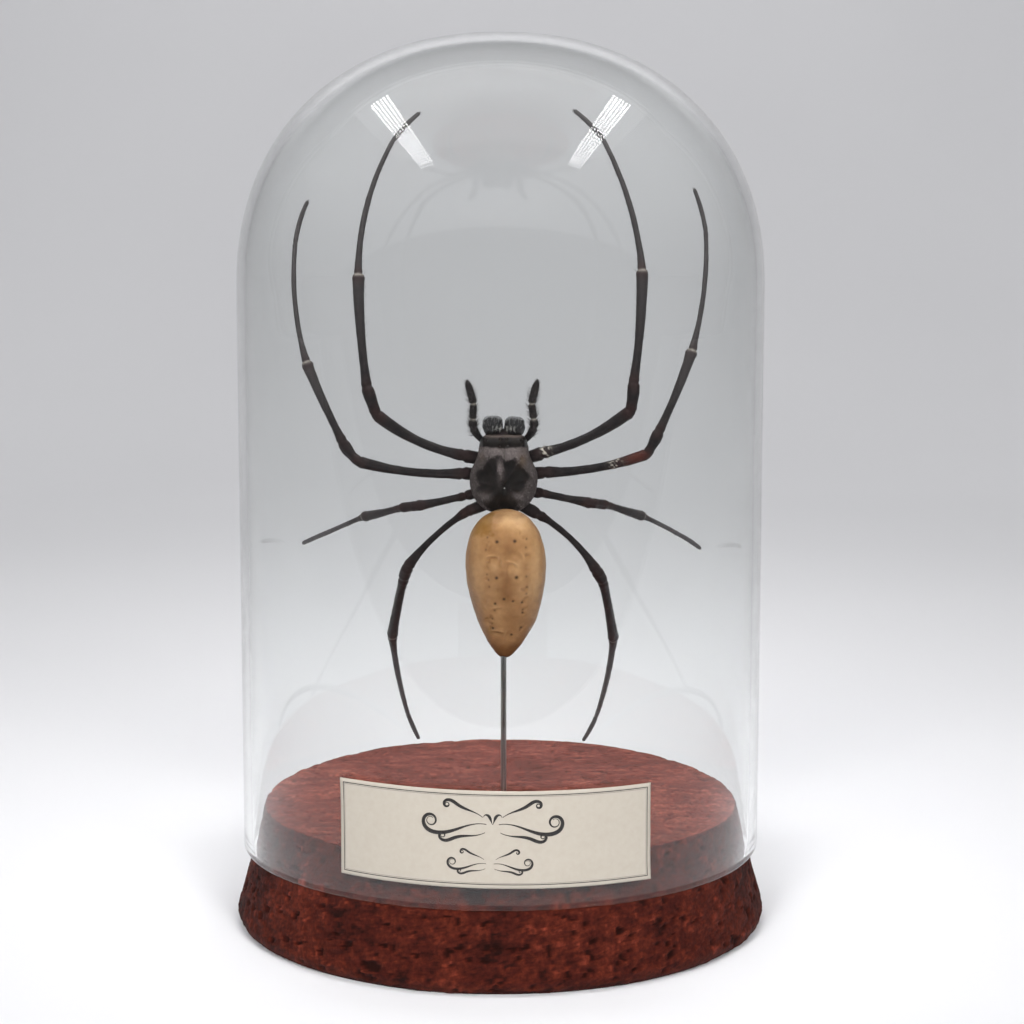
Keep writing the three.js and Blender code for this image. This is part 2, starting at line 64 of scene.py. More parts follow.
# %% Body sizes, in millimetres
ABDOMEN = dict(
    low_z=50.4, length=29.6, middle_x=[0.2, 0.55, 0.45, 0.35, 0.3], widths=[4.8, 6.45, 7.45, 8.5, 9.6],
    backs=[3.6, 5.4, 6.5, 7.2, 7.4], bellies=[4.6, 6.4, 7.2, 7.6, 7.4],
    middle_y=[0.3, 0.1, -0.7, -1.5, -2.4], blunt=[2, 2])
CARAPACE = dict(
    low_z=78.8, length=15.2, widths=[5.6, 6.35, 6.45, 4.95, 4.9], backs=[1.6, 3.3, 4.3, 4.7, 3.9],
    bellies=[0.9] * 5, middle_y=[0.7, 0.5, 0.5, 0.5, 0.5], blunt=[3, 6])
STERNUM = dict(
    low_z=81.2, length=9, widths=[2.8, 3.2, 3.4, 3.3, 2.9], backs=[1.3] * 5,
    bellies=[1.2, 1.5, 1.6, 1.5, 1.2], middle_y=[3.05] * 5, blunt=[2.8, 4])
CHELICERA = dict(
    low_z=-3.7, length=7.4, widths=[1.9, 1.95, 1.95, 1.85, 1.6], backs=[1.5, 1.55, 1.55, 1.5, 1.4],
    bellies=[1.75, 1.95, 1.95, 1.8, 1.5], middle_y=[0] * 5, blunt=[4, 2.6], square=3)
CHELICERA_PLACE = (2.13, 2.2, 95.72)
MEMBRANE = dict(
    low_z=93.1, length=2.0, widths=[3.4, 3.5, 3.5, 3.4, 3.2], backs=[1.3, 1.4, 1.4, 1.3, 1.1],
    bellies=[1.2, 1.3, 1.3, 1.2, 1.1], middle_y=[0.6, 0.6, 0.7, 0.8, 0.9], blunt=[3, 3])
ENDITE = dict(
    low_z=90.55, length=3.2, widths=[0.9, 1.15, 1.35, 1.4, 1.3], backs=[1.2, 1.3, 1.3, 1.3, 1.2],
    bellies=[1.2, 1.4, 1.5, 1.4, 1.1], middle_y=[3.1, 3.1, 3.2, 3.3, 3.4], blunt=[4, 3])
LABIUM = dict(ENDITE, length=2.3, widths=[0.8, 0.9, 0.85, 0.7, 0.5], bellies=[1.0, 1.1, 1.2, 1.1, 0.8])
FANG = dict(radius=0.5, length=3.6, curl=70)
PEDICEL = dict(radius=0.85, y=2.55, low_z=77.4, high_z=80.85)
SPINNERETS = dict(y=4.65, z=53.6, button=1.35, length=1.7, radius=0.55, lean=26)
EYES = {  # name: distance from the middle line, height, radius
    "front_median": (0.62, 93.35, 0.36),
    "rear_median": (0.72, 92.05, 0.34),
    "front_lateral": (3.35, 93.0, 0.3),
    "rear_lateral": (3.75, 92.1, 0.3),
}
print("abdomen", ABDOMEN["length"], "mm long, carapace", CARAPACE["length"], "mm long")

# %% [markdown]
# A leg has six lengths here, listed from the body outwards: hip, femur, patella, tibia, metatarsus
# and tarsus. A palp has four: femur, patella, tibia and tarsus. Each length has its own list of
# radii. Left and right share all but the headings and bends, which follow the dried pose.

# %% Limb sizes: lengths and radii in millimetres, headings, leans and bends in degrees
LEG_PAIRS = {
    1: dict(
        root=(3.4, 3.3, 88.85), lengths=[4.6, 19, 5.5, 21.5, 28, 7.9], leans=[-16, -9, 5, 8, 15, 19],
        left=[12.2, 26.2, 71.2, 85.4, 103.9, 132.1], left_bends=[0, 31, 4, 8, 29, 15],
        right=[18.5, 26.5, 83.5, 85.5, 106.3, 134.3], right_bends=[0, 25, 15, 9, 23, 11],
        radii=[[1.1, 1.22, 1.25, 1.2], [1.2, 0.95, 0.92, 0.9, 1.03, 1.17, 1.2], [1.05, 1.08, 1.2, 1.1],
               [1, 0.83, 0.79, 0.88, 0.97, 1.06, 1.18], [0.8, 0.6, 0.57, 0.55, 0.5, 0.47, 0.46],
               [0.46, 0.47, 0.46, 0.38]]),
    2: dict(
        root=(3.88, 3.2, 85.8), lengths=[4.3, 20.3, 4.9, 16.8, 24.3, 9.1], leans=[-15, -9, 5, 10, 17, 20],
        left=[7.1, 7.5, 50.6, 64.4, 83.1, 104.8], left_bends=[0, 20, 27, 5, 23, 19],
        right=[10.1, 11.1, 62.1, 67.1, 81.8, 103.4], right_bends=[0, 21, 11, 8, 19, 14],
        radii=[[1.1, 1.22, 1.2, 1.15], [1.15, 0.92, 0.83, 0.81, 0.86, 1.03, 1.08], [0.98, 0.93, 1.15, 1.05],
               [0.95, 0.77, 0.75, 0.82, 0.89, 0.97, 1.14], [0.8, 0.55, 0.51, 0.49, 0.49, 0.46, 0.45],
               [0.45, 0.46, 0.46, 0.38]]),
    3: dict(
        root=(3.35, 3.05, 83.05), lengths=[4.4, 10.4, 3.8, 10.4, 13, 8.9], leans=[-7, -28, 31, 40, 45, 43],
        left=[-16.5, -8.2, -10.6, -18.9, -28.6, -27.9], left_bends=[0, 3, -2, 6, 0, -3],
        right=[-9.8, -7.9, -10.7, -22.3, -31.5, -35.9], right_bends=[0, 1, -2, 2, -5, -8],
        radii=[[0.95, 1.05, 1.02, 0.9], [0.88, 0.74, 0.71, 0.72, 0.8, 0.93, 1.1], [1, 0.92, 0.95, 0.88],
               [0.75, 0.64, 0.67, 0.75, 0.83, 0.9, 1], [0.65, 0.48, 0.45, 0.45, 0.44, 0.44, 0.44],
               [0.44, 0.46, 0.46, 0.38]]),
    4: dict(
        root=(2.3, 3.2, 80.6), lengths=[5.2, 16, 3.5, 17.1, 27.8, 9.4], leans=[0, 4, 34, 37, 43, 42],
        left=[-21.7, -43, -72.2, -77.8, -96.2, -106.7], left_bends=[0, -20, -5, -5, -9, -5],
        right=[-28.7, -44.5, -60.8, -78.4, -97.2, -110.6], right_bends=[0, -27, 0, -4, -11, -9],
        radii=[[1.05, 1.15, 1.15, 1.05], [1, 0.68, 0.61, 0.62, 0.68, 0.84, 1.12], [1.1, 1.15, 1.12, 1],
               [1, 0.88, 0.88, 0.89, 0.94, 1, 1.12], [0.9, 0.66, 0.62, 0.58, 0.54, 0.48, 0.46],
               [0.46, 0.48, 0.46, 0.38]]),
}
PALP = dict(
    root=(3.5, 3.5, 92.1), lengths=[4.3, 1.7, 3.0, 4.6], leans=[-24, -6, -4, -2],
    left=[52, 88, 93, 74], left_bends=[34, 6, 0, -4], right=[53, 91, 98, 76], right_bends=[34, 6, 0, -4],
    radii=[[0.5, 0.62, 0.74, 0.76], [0.76, 0.8, 0.66], [0.64, 0.7, 0.72, 0.62],
           [0.66, 0.76, 0.74, 0.66, 0.4]])
SIDES = {"left": -1, "right": 1}
print("longest leg:", sum(LEG_PAIRS[1]["lengths"]), "mm")

# %% [markdown]
# ## The camera
#
# The photo was taken level with the upper part of the dome, looking a little down, from about
# four dome widths away. A small shift puts the dome's axis just left of the middle of the frame.

# %% Camera
CAMERA_DISTANCE, CAMERA_HEIGHT, CAMERA_PITCH = 0.43504, 0.13496, 7.335
camera_data = bpy.data.cameras.new("camera")
camera_data.lens = 80
camera_data.sensor_width = 36
camera_data.clip_start = 0.01
camera_data.shift_x = 0.01125
camera = bpy.data.objects.new("camera", camera_data)
bpy.context.scene.collection.objects.link(camera)
camera.location = (0, -CAMERA_DISTANCE, CAMERA_HEIGHT)
camera.rotation_euler = (np.radians(90 - CAMERA_PITCH), 0, 0)
bpy.context.scene.camera = camera
bpy.context.scene.view_settings.view_transform = "Standard"
print("camera at", tuple(round(c, 3) for c in camera.location))

# %% [markdown]
# ## From arrays to meshes
#
# Nearly every surface below is a grid of rings: rows along a length, columns round it. One helper
# joins the rings with four-cornered faces and closes each end with a fan, and another puts the
# arrays into a mesh. The faces are turned outwards by the sign of the enclosed volume.

# %% Mesh helpers
def ring_faces(rows, columns):
    """Joins ring i to ring i + 1 all the way round, then fans each end to its own pole vertex."""
    row, column = np.meshgrid(np.arange(rows - 1), np.arange(columns), indexing="ij")
    beside = (column + 1) % columns
    quads = np.stack([row * columns + column, row * columns + beside,
                      (row + 1) * columns + beside, (row + 1) * columns + column], -1).reshape(-1, 4)
    first = np.arange(columns)
    after = (first + 1) % columns
    pole = rows * columns
    last = pole - columns
    low = np.stack([np.full(columns, pole), after, first], -1)
    high = np.stack([np.full(columns, pole + 1), last + first, last + after], -1)
    return [quads, low, high]


def sheet_faces(rows, columns):
    """The faces of an open grid of points."""
    i, j = np.meshgrid(np.arange(rows - 1), np.arange(columns - 1), indexing="ij")
    corner = i * columns + j
    return np.stack([corner, corner + columns, corner + columns + 1, corner + 1], -1).reshape(-1, 4)


def with_poles(rings):
    """Flattens rings of shape (rows, columns, 3) and adds the middle of the first and last ring."""
    return np.concatenate([rings.reshape(-1, 3), rings[:1].mean(1), rings[-1:].mean(1)])


def outwards(points, faces):
    """Turns the faces over where six times the volume, the sum of a . (b x c), is negative."""
    points = points - points.mean(0)
    total = 0.0
    for block in faces:
        for k in range(1, block.shape[1] - 1):
            a, b, c = points[block[:, 0]], points[block[:, k]], points[block[:, k + 1]]
            total += np.einsum("ij,ij->", a, np.cross(b, c))
    return [block[:, ::-1] for block in faces] if total < 0 else faces


def put_mesh(name, points, faces, finish, marks=None):
    """Makes an object at the origin from points in mm and blocks of faces. marks are point values."""
    mesh = bpy.data.meshes.new(name)
    mesh.from_pydata((points * MM).tolist(), [], [face for block in faces for face in block.tolist()])
    mesh.polygons.foreach_set("use_smooth", np.ones(len(mesh.polygons), bool))
    for label, values in (marks or {}).items():
        layer = mesh.attributes.new(label, "FLOAT", "POINT")
        layer.data.foreach_set("value", np.asarray(values, np.float32).ravel())
    piece = bpy.data.objects.new(name, mesh)
    bpy.context.scene.collection.objects.link(piece)
    mesh.materials.append(finish)
    mesh.update()
    return piece


def put_blocks(name, blocks, finish, marks=None):
    """Several closed bodies, each given as its points and faces, in one mesh."""
    faces, base = [], 0
    for points, own_faces in blocks:
        faces += [face + base for face in outwards(points, own_faces)]
        base += len(points)
    return put_mesh(name, np.concatenate([points for points, _ in blocks]), faces, finish, marks)


def set_uv(piece, name, places):
    """A UV map from one place for each point."""
    corner = np.zeros(len(piece.data.loops), np.int32)
    piece.data.loops.foreach_get("vertex_index", corner)
    layer = piece.data.uv_layers.new(name=name)
    layer.data.foreach_set("uv", places[corner].astype(np.float32).ravel())


def dress(piece, slot, *nodes):
    """The piece rides on the one body and stands for the nodes. The slot is not used."""
    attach(piece, "root")
    if nodes:
        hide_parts(*nodes)
    print(piece.name, len(piece.data.polygons), "faces")
    return piece


def skin(name, rings, finish, slot, *nodes, **marks):
    """Closes rings into a dressed piece. Marks are clipped to 0 to 1, and a pole has its ring's mean."""
    flat = {}
    for label, value in marks.items():
        value = np.clip(np.broadcast_to(value, rings.shape[:2]), 0, 1)
        flat[label] = np.concatenate([value.ravel(), [value[0].mean(), value[-1].mean()]])
    piece = put_blocks(name, [(with_poles(rings), ring_faces(*rings.shape[:2]))], finish, flat)
    dress(piece, slot, *nodes)


def circle(count):
    """Cosine and sine of evenly spaced angles round a full turn, one row for each."""
    turn = np.linspace(0, 2 * np.pi, count, endpoint=False)
    return np.stack([np.cos(turn), np.sin(turn)], -1)


def turned(profile, count, middle=(0, 0)):
    """Spins rows of (radius, height) about an upright axis into rings, as a lathe does."""
    plan = profile[:, None, :1] * circle(count)[None] + np.array(middle)
    return np.concatenate([plan, np.repeat(profile[:, None, 1:], count, 1)], -1)


# %% [markdown]
# ## Smooth curves and natural unevenness
#
# Radii between the listed ones follow a smooth curve. Unevenness comes from two noises worked out
# on whole arrays: a soft one, and one that splits space into grains, which is what pressed cork is.
# Spots and edges of a pattern are bells, mounds and ramps of the distance to them.

# %% Curve and noise helpers
def through(values, share):
    """Catmull-Rom curve through evenly spaced values, at a share from 0 to 1."""
    values = np.asarray(values, float)
    padded = np.concatenate([values[:1], values, values[-1:]])
    place = np.clip(share, 0, 1) * (len(values) - 1)
    i = np.minimum(place.astype(int), len(values) - 2)
    t = place - i
    a, b, c, d = padded[i], padded[i + 1], padded[i + 2], padded[i + 3]
    return 0.5 * (2 * b + (c - a) * t + (2 * a - 5 * b + 4 * c - d) * t**2 + (3 * b - a - 3 * c + d) * t**3)


def hashed(cells, seed):
    """A fixed number from 0 to 1 for each whole-number cell, by mixing the bits of its place."""
    mixed = cells[..., 0] * 73856093 ^ cells[..., 1] * 19349663 ^ cells[..., 2] * 83492791
    mixed = (mixed ^ (seed + 1) * 50331653) & 0xFFFFFFFF
    mixed = ((mixed ^ (mixed >> 15)) * 739982445) & 0xFFFFFFFF
    mixed = ((mixed ^ (mixed >> 13)) * 695872825) & 0xFFFFFFFF
    return ((mixed ^ (mixed >> 16)) & 0xFFFFF) / float(0xFFFFF)


def soft_noise(points, size, seed=0):
    """Noise from -1 to 1: random values on a lattice of the given size, smoothly blended."""
    scaled = points / size
    cell = np.floor(scaled).astype(np.int64)
    part = scaled - cell
    part = part * part * (3 - 2 * part)
    total = 0
    for corner in np.ndindex(2, 2, 2):
        weight = np.prod(np.where(corner, part, 1 - part), -1)
        total = total + weight * hashed(cell + np.array(corner), seed)
    return total * 2 - 1


def layered_noise(points, size, layers=3, seed=0):
    """Soft noises added up, each half the size and half the height of the one before."""
    return sum(soft_noise(points, size / 2**k, seed + k) / 2**k for k in range(layers))


def grains(points, size, seed=0):
    """For scattered grain middles, one per cube: the gap to the next grain and a number per grain."""
    scaled = points / size
    cell = np.floor(scaled).astype(np.int64)
    nearest = np.full(len(points), 9.0)
    second = np.full(len(points), 9.0)
    own = np.zeros(len(points))
    for offset in np.ndindex(3, 3, 3):
        there = cell + np.array(offset) - 1
        middle = there + np.stack([hashed(there, seed + k) for k in range(3)], -1)
        distance = np.linalg.norm(scaled - middle, axis=-1)
        closer = distance < nearest
        second = np.where(closer, nearest, np.minimum(second, distance))
        own = np.where(closer, hashed(there, seed + 7), own)
        nearest = np.where(closer, distance, nearest)
    return second - nearest, own


def bell(value, middle, reach):
    """exp(-r squared), with r the distance from the middle counted in reaches."""
    return np.exp(-(((value - middle) / reach) ** 2))


def mound(x, z, middle, reach):
    """A soft round spot: exp(-r squared), with r counted in reaches across and along."""
    return np.exp(-(((x - middle[0]) / reach[0]) ** 2) - ((z - middle[1]) / reach[1]) ** 2)


def ramp(value, start, width):
    """0 up to the start, then straight up to 1 over the width."""
    return np.clip((value - start) / width, 0, 1)


# %% [markdown]
# ## Building materials
#
# Each material is a small node tree on Blender's Principled shader. Short helpers add a node and
# link or set its inputs, turn a value into colours, or tint a colour where the piece has a mark.

# %% Material helpers
def start_finish(name, roughness, **sockets):
    """A Principled material, with plain numbers set on the shader's own sockets."""
    finish = bpy.data.materials.new(name)
    finish.use_nodes = True
    inputs = finish.node_tree.nodes["Principled BSDF"].inputs
    inputs["Roughness"].default_value = roughness
    for label, value in sockets.items():
        inputs[label.replace("_", " ")].default_value = value
    return finish


def add_node(owner, kind, inputs=None, **settings):
    """Adds a node. An input given as a socket is linked, and a number or colour is set."""
    node = owner.node_tree.nodes.new("ShaderNode" + kind)
    for label, value in settings.items():
        setattr(node, label, value)
    for label, value in (inputs or {}).items():
        if isinstance(value, bpy.types.NodeSocket):
            owner.node_tree.links.new(value, node.inputs[label])
        else:
            node.inputs[label].default_value = value
    return node


def reckon(owner, operation, *values):
    """A Math node on sockets and numbers."""
    return add_node(owner, "Math", dict(enumerate(values)), operation=operation).outputs[0]


def feed(owner, output, label="Base Color", node="Principled BSDF"):
    """Links an output to an input of the owner's own shader."""
    owner.node_tree.links.new(output, owner.node_tree.nodes[node].inputs[label])


def colours(finish, value, stops):
    """A ramp from (place, colour) stops."""
    node = add_node(finish, "ValToRGB", {"Fac": value})
    ends = node.color_ramp.elements
    while len(ends) < len(stops):
        ends.new(0.5)
    for element, (place, colour) in zip(ends, stops):
        element.position = place
        element.color = (*colour, 1)
    return node.outputs["Color"]


def blended(finish, share, a, b, mode="MIX"):
    """Mixes two colours by a share."""
    a, b = [value if isinstance(value, bpy.types.NodeSocket) else (*value, 1) for value in (a, b)]
    return add_node(finish, "Mix", {0: share, 6: a, 7: b}, data_type="RGBA", blend_type=mode).outputs[2]


def mark(finish, label):
    """The piece's own point values of that name."""
    return add_node(finish, "Attribute", attribute_name=label).outputs["Fac"]


def tinted(finish, tone, **marks):
    """Blends in a colour where the piece has each mark, one after another."""
    for label, colour in marks.items():
        tone = blended(finish, mark(finish, label), tone, colour)
    return tone


def noise(finish, scale, detail=4, roughness=0.5):
    """Noise over the piece's own space, where scale is counted per metre."""
    place = add_node(finish, "TexCoord").outputs["Object"]
    return add_node(finish, "TexNoise", {
        "Vector": place, "Scale": scale, "Detail": detail, "Roughness": roughness}).outputs["Fac"]


def mottled(finish, scale, detail, dark, light, roughness=0.5):
    """Noise between two colours."""
    return colours(finish, noise(finish, scale, detail, roughness), [(0.3, dark), (0.7, light)])


def ridged(finish, height, strength, distance):
    """Bump from a height value."""
    bump = add_node(finish, "Bump", {"Height": height, "Strength": strength, "Distance": distance})
    feed(finish, bump.outputs["Normal"], "Normal")


def mottled_finish(name, roughness, scale, detail, dark, light, **sockets):
    """A finish whose colour is noise between two tones."""
    finish = start_finish(name, roughness, **sockets)
    feed(finish, mottled(finish, scale, detail, dark, light))
    return finish


# %% [markdown]
# ## The cork base
#
# The base is pressed cork, stained red: grains of bark two millimetres across, glued and turned to
# a flared plug. Grains stand a little high or low, the glue lines between them are thin creases,
# and here and there a grain has fallen out. So the skin is a turned profile on a fine grid, moved
# along its normal by the grain noise, and the same noise gives each grain its colour. The glue
# lines are drawn dark, and the holes left by fallen grains are painted near black as painted shade.
# The top is smoother, with streaks across it, and its edge is chipped.

# %% Cork finish
cork_finish = start_finish("stained_cork", 0.8, Specular_IOR_Level=0.2)
grain_colour = colours(cork_finish, mark(cork_finish, "grain"), [
    (0.0, (0.012, 0.003, 0.002)), (0.2, (0.045, 0.0075, 0.0045)), (0.45, (0.08, 0.014, 0.007)),
    (0.7, (0.15, 0.028, 0.016)), (0.85, (0.25, 0.065, 0.045)), (1.0, (0.36, 0.13, 0.09))])
speckle = mottled(cork_finish, 1400, 5, (0.5, 0.5, 0.5), (1.3, 1.25, 1.2))
cork_colour = blended(cork_finish, 1.0, grain_colour, speckle, "MULTIPLY")
# Glue lines are tinted dark, and the holes of fallen grains are tinted near black, which is painted shade in
# the holes.
feed(cork_finish, tinted(cork_finish, cork_colour, crease=(0.012, 0.003, 0.002)))
ridged(cork_finish, noise(cork_finish, 2600, 6, 0.65), 0.5, 0.00025)

# %% Cork shape
CORK_COLUMNS = 400
GRAIN_SIZE = 2.0
FALLEN_DEPTH = 0.55
CHIPPED_FROM = 44.4
REAR_RISE = 0.4


def bow(start, handle, end, count):
    """A quadratic Bezier curve without its first point."""
    t = np.linspace(0, 1, count)[1:, None]
    return (1 - t) ** 2 * start + 2 * t * (1 - t) * np.array(handle) + t**2 * np.array(end)


def cork_profile():
    """Radius and height down the middle of the underside, out, up the side and in over the top."""
    under = np.stack([np.linspace(0.4, CORK["foot"] - CORK["edge"], 8), np.zeros(8)], -1)
    foot = bow(under[-1], [CORK["foot"] + 0.5, 0.1], [CORK["belly"], CORK["belly_z"]], 9)
    seat = np.array([CORK["seat"], GLASS["rim_z"]])
    top = np.array([CORK["top"], CORK["height"] - CORK["edge"] * 0.6])
    low_side = foot[-1] + (seat - foot[-1]) * np.linspace(0, 1, 47)[1:, None]
    high_side = seat + (top - seat) * np.linspace(0, 1, 31)[1:, None]
    edge = bow(top, [CORK["top"] - 0.1, CORK["height"]], [CORK["top"] - CORK["edge"], CORK["height"]], 6)
    share = np.linspace(0, 1, 130)[1:]
    inward_r = (CORK["top"] - CORK["edge"]) * (1 - share) + 0.15 * share
    inward = np.stack([inward_r, 0 * share + CORK["height"]], -1)
    return np.concatenate([under, foot, low_side, high_side, edge, inward])


profile = cork_profile()
along = np.gradient(profile, axis=0)
normal = np.stack([along[:, 1], -along[:, 0]], -1) / np.linalg.norm(along, axis=1)[:, None]
points = with_poles(turned(profile, CORK_COLUMNS))
cork_out = with_poles(turned(normal, CORK_COLUMNS))
x, y, z = points.T
from_axis = np.hypot(x, y)
warped = points + 0.5 * np.stack([soft_noise(points, 1.6, 20 + k) for k in range(3)], -1)
crease, grain = grains(warped, GRAIN_SIZE, 3)
small_crease, small_grain = grains(warped, GRAIN_SIZE * 0.45, 11)
fallen = (grain < 0.012) | (small_grain < 0.045)
relief = 0.13 * (grain - 0.5) + 0.1 * (small_grain - 0.5)
relief -= 0.12 * bell(crease, 0, 0.06) + 0.1 * bell(small_crease, 0, 0.08)
relief -= FALLEN_DEPTH * fallen * ramp(np.maximum(crease, small_crease), 0, 0.2)
relief += 0.12 * layered_noise(points, 7, 3, 5) - 0.12
on_top = ramp(cork_out[:, 2], 0.8, 0.125)
chips = bell(z, CORK["height"] - 0.3, 0.5) * (from_axis > CHIPPED_FROM)
relief = relief * (1 - 0.55 * on_top) - 0.5 * chips * ramp(layered_noise(points, 2.4, 2, 15), 0.1, 1)
relief += REAR_RISE * on_top * ramp(y, 25, 15)
relief[z < 0.05] = 0
under_glass = bell(z, GLASS["rim_z"] + 1, 2.5) * (from_axis**2 > 2000) > 0.4
relief = np.where(under_glass, np.minimum(relief, -0.05), relief)
points = points + cork_out * relief[:, None]
points[:, 2] = np.maximum(points[:, 2], 0)
streaks = layered_noise(points * [0.35, 1, 1], 1.4, 3, 25)
tone = 0.17 + 0.22 * grain + 0.3 * (small_grain - 0.5) + 0.14 * (small_grain > 0.95)
tone += 0.15 * layered_noise(points, 9, 2, 9)
tone = np.clip(tone * (1 - 0.55 * on_top) + on_top * (0.61 + 0.12 * streaks), 0, 1)
tone = np.clip(tone - 0.14 * on_top * mound(points[:, 0], points[:, 1], (6, 22), (5, 7)), 0, 1)
# Dark along the glue lines, which is the cork's own joint colour, and near black in the holes of fallen
# grains, which is painted shade.
glue_line_and_pit_shade = np.clip(0.3 * bell(crease, 0, 0.05) + 0.3 * bell(small_crease, 0, 0.05), 0, 1)
glue_line_and_pit_shade = np.maximum(glue_line_and_pit_shade, 0.95 * fallen) * (1 - 0.6 * on_top)
cork = put_blocks("cork_skin", [(points, ring_faces(len(profile), CORK_COLUMNS))], cork_finish,
                  {"grain": tone, "crease": glue_line_and_pit_shade})
dress(cork, "cork", "cork_base")

# %% [markdown]
# ## The glass dome
#
# A blown dome is one wall of clear glass, open below, with a fire-rounded rim. Its outside and
# inside faces are both modelled, because the light bends at each: that is what makes the bright
# and dark lines down its sides. Shadow rays pass straight through, so that lamps light the inside.

# %% Glass finish
glass_finish = start_finish("clear_glass", 0.0, Transmission_Weight=1.0, IOR=1.46,
                            Base_Color=(0.985, 0.995, 0.99, 1))
pass_through = add_node(glass_finish, "MixShader", {
    0: add_node(glass_finish, "LightPath").outputs["Is Shadow Ray"],
    1: glass_finish.node_tree.nodes["Principled BSDF"].outputs[0],
    2: add_node(glass_finish, "BsdfTransparent").outputs[0]})
feed(glass_finish, pass_through.outputs[0], "Surface", "Material Output")

# %% Glass shape
GLASS_COLUMNS = 192
UNEVEN = 0.06


def glass_face(inset, wall_rows=40, crown_rows=60):
    """Up the straight wall, then over the crown, whose section is |x|^p + |z|^p = 1 by height."""
    radius, height = GLASS["radius"] - inset, GLASS["crown"] - inset
    wall_z = np.linspace(GLASS["rim_z"] + 1.2, GLASS["shoulder_z"], wall_rows)
    angle = np.linspace(0, np.pi / 2, crown_rows + 1)[1:-1]
    out = radius * np.cos(angle) ** (2 / GLASS["power"])
    up = GLASS["shoulder_z"] + height * np.sin(angle) ** (2 / GLASS["power"])
    return np.concatenate([np.stack([np.full(wall_rows, radius), wall_z], -1), np.stack([out, up], -1)])


rim_turn = np.linspace(0, np.pi, 11)[1:-1]
rim = np.stack([GLASS["radius"] - GLASS["wall"] / 2 * (1 + 1.08 * np.cos(rim_turn)),
                GLASS["rim_z"] + 0.95 - 0.95 * np.sin(rim_turn)], -1)
profile = np.concatenate([glass_face(GLASS["wall"])[::-1], rim, glass_face(0)])
points = with_poles(turned(profile, GLASS_COLUMNS))
crown_z = GLASS["shoulder_z"] + GLASS["crown"]
points[-2:] = [[0, 0, crown_z - GLASS["wall"]], [0, 0, crown_z]]
wave = UNEVEN * soft_noise(points * [1, 1, 0.35], 16, 40)
points[:, :2] *= (1 + wave / GLASS["radius"])[:, None]
dome = put_blocks("dome_glass", [(points, ring_faces(len(profile), GLASS_COLUMNS))], glass_finish)
dress(dome, "glass", "glass_dome")

# %% [markdown]
# ## The steel rod
#
# Drawn steel wire, bare, a little over a millimetre thick. Drawing leaves fine lines along it.

# %% Rod
rod_finish = start_finish("drawn_steel", 0.34, Metallic=1.0)
rod_lines = add_node(rod_finish, "Mapping", {
    "Vector": add_node(rod_finish, "TexCoord").outputs["Object"], "Scale": (9000, 9000, 60)})
rod_noise = add_node(rod_finish, "TexNoise", {"Vector": rod_lines.outputs[0], "Scale": 1.0}).outputs["Fac"]
feed(rod_finish, colours(rod_finish, rod_noise, [(0.3, (0.22, 0.22, 0.21)), (0.7, (0.5, 0.5, 0.48))]))
rod_z = np.concatenate([[ROD["low_z"]], np.linspace(ROD["low_z"] + 0.1, ROD["high_z"] - 0.3, 24),
                        [ROD["high_z"] - 0.1, ROD["high_z"]]])
rod_r = np.full(len(rod_z), ROD["radius"])
rod_r[0], rod_r[-2:] = ROD["radius"] - 0.1, [0.4, 0.15]
skin("rod_steel", turned(np.stack([rod_r, rod_z], -1), 32, (ROD["x"], 0)), rod_finish, "rod", "steel_rod")

# %% [markdown]
# ## The paper label
#
# A slip of cream paper stuck round the front of the glass. Its corners have begun to lift. Two
# fine rules run round it, drawn here by the distance to the paper's edge, and in its middle it
# carries two plain scrollwork flourishes in ink.

# %% Paper finish
LABEL_WIDTH = 2 * np.radians(LABEL["half_angle"]) * (GLASS["radius"] + LABEL["gap"])
UV_UNIT = 100  # millimetres of paper for 1 on its UV map
paper_finish = start_finish("cream_paper", 0.7)
paper_place = add_node(paper_finish, "SeparateXYZ", {
    "Vector": add_node(paper_finish, "UVMap", uv_map="flat").outputs["UV"]}).outputs


def inside(finish, value, size):
    """How far a value lies inside the span from 0 to size: half - |value - half|."""
    half = size / 2
    from_middle = reckon(finish, "ABSOLUTE", reckon(finish, "SUBTRACT", value, half))
    return reckon(finish, "SUBTRACT", half, from_middle)


def ruled(finish, distance, inset, half_thick):
    """1 on a rule that runs at this inset from the edge, 0 elsewhere. Lengths are in UV units."""
    off = reckon(finish, "ABSOLUTE", reckon(finish, "SUBTRACT", distance, inset))
    return reckon(finish, "LESS_THAN", off, half_thick)


to_edge = reckon(paper_finish, "MINIMUM", inside(paper_finish, paper_place[0], LABEL_WIDTH / UV_UNIT),
                 inside(paper_finish, paper_place[1], LABEL["height"] / UV_UNIT))
paper_tone = mottled(paper_finish, 900, 6, (0.39, 0.352, 0.3), (0.41, 0.375, 0.322))
for inset, half_thick, ink in ((0.0072, 0.0008, (0.03, 0.027, 0.025)), (0.0096, 0.0005, (0.2, 0.19, 0.17))):
    paper_tone = blended(paper_finish, ruled(paper_finish, to_edge, inset, half_thick), paper_tone, ink)
feed(paper_finish, paper_tone)
ridged(paper_finish, noise(paper_finish, 3500, 4), 0.15, 0.00008)

# %% Label shape
PAPER_COLUMNS, PAPER_ROWS = 121, 37


def on_label(across, up, lift):
    """From mm across and up the flat label to its place round the glass, lift mm off the glass."""
    angle = np.radians(LABEL["turn"]) + (across / LABEL_WIDTH - 0.5) * 2 * np.radians(LABEL["half_angle"])
    radius = GLASS["radius"] + lift
    x = radius * np.sin(angle)
    return np.stack([x, -radius * np.cos(angle), LABEL["low_z"] + up - LABEL["slope"] * x], -1)


def paper_level(across, up):
    """Gap between the glass and the back of the paper, which is not quite flat."""
    return LABEL["gap"] + 0.04 * soft_noise(np.stack([across, up, up * 0], -1), 6, 30)


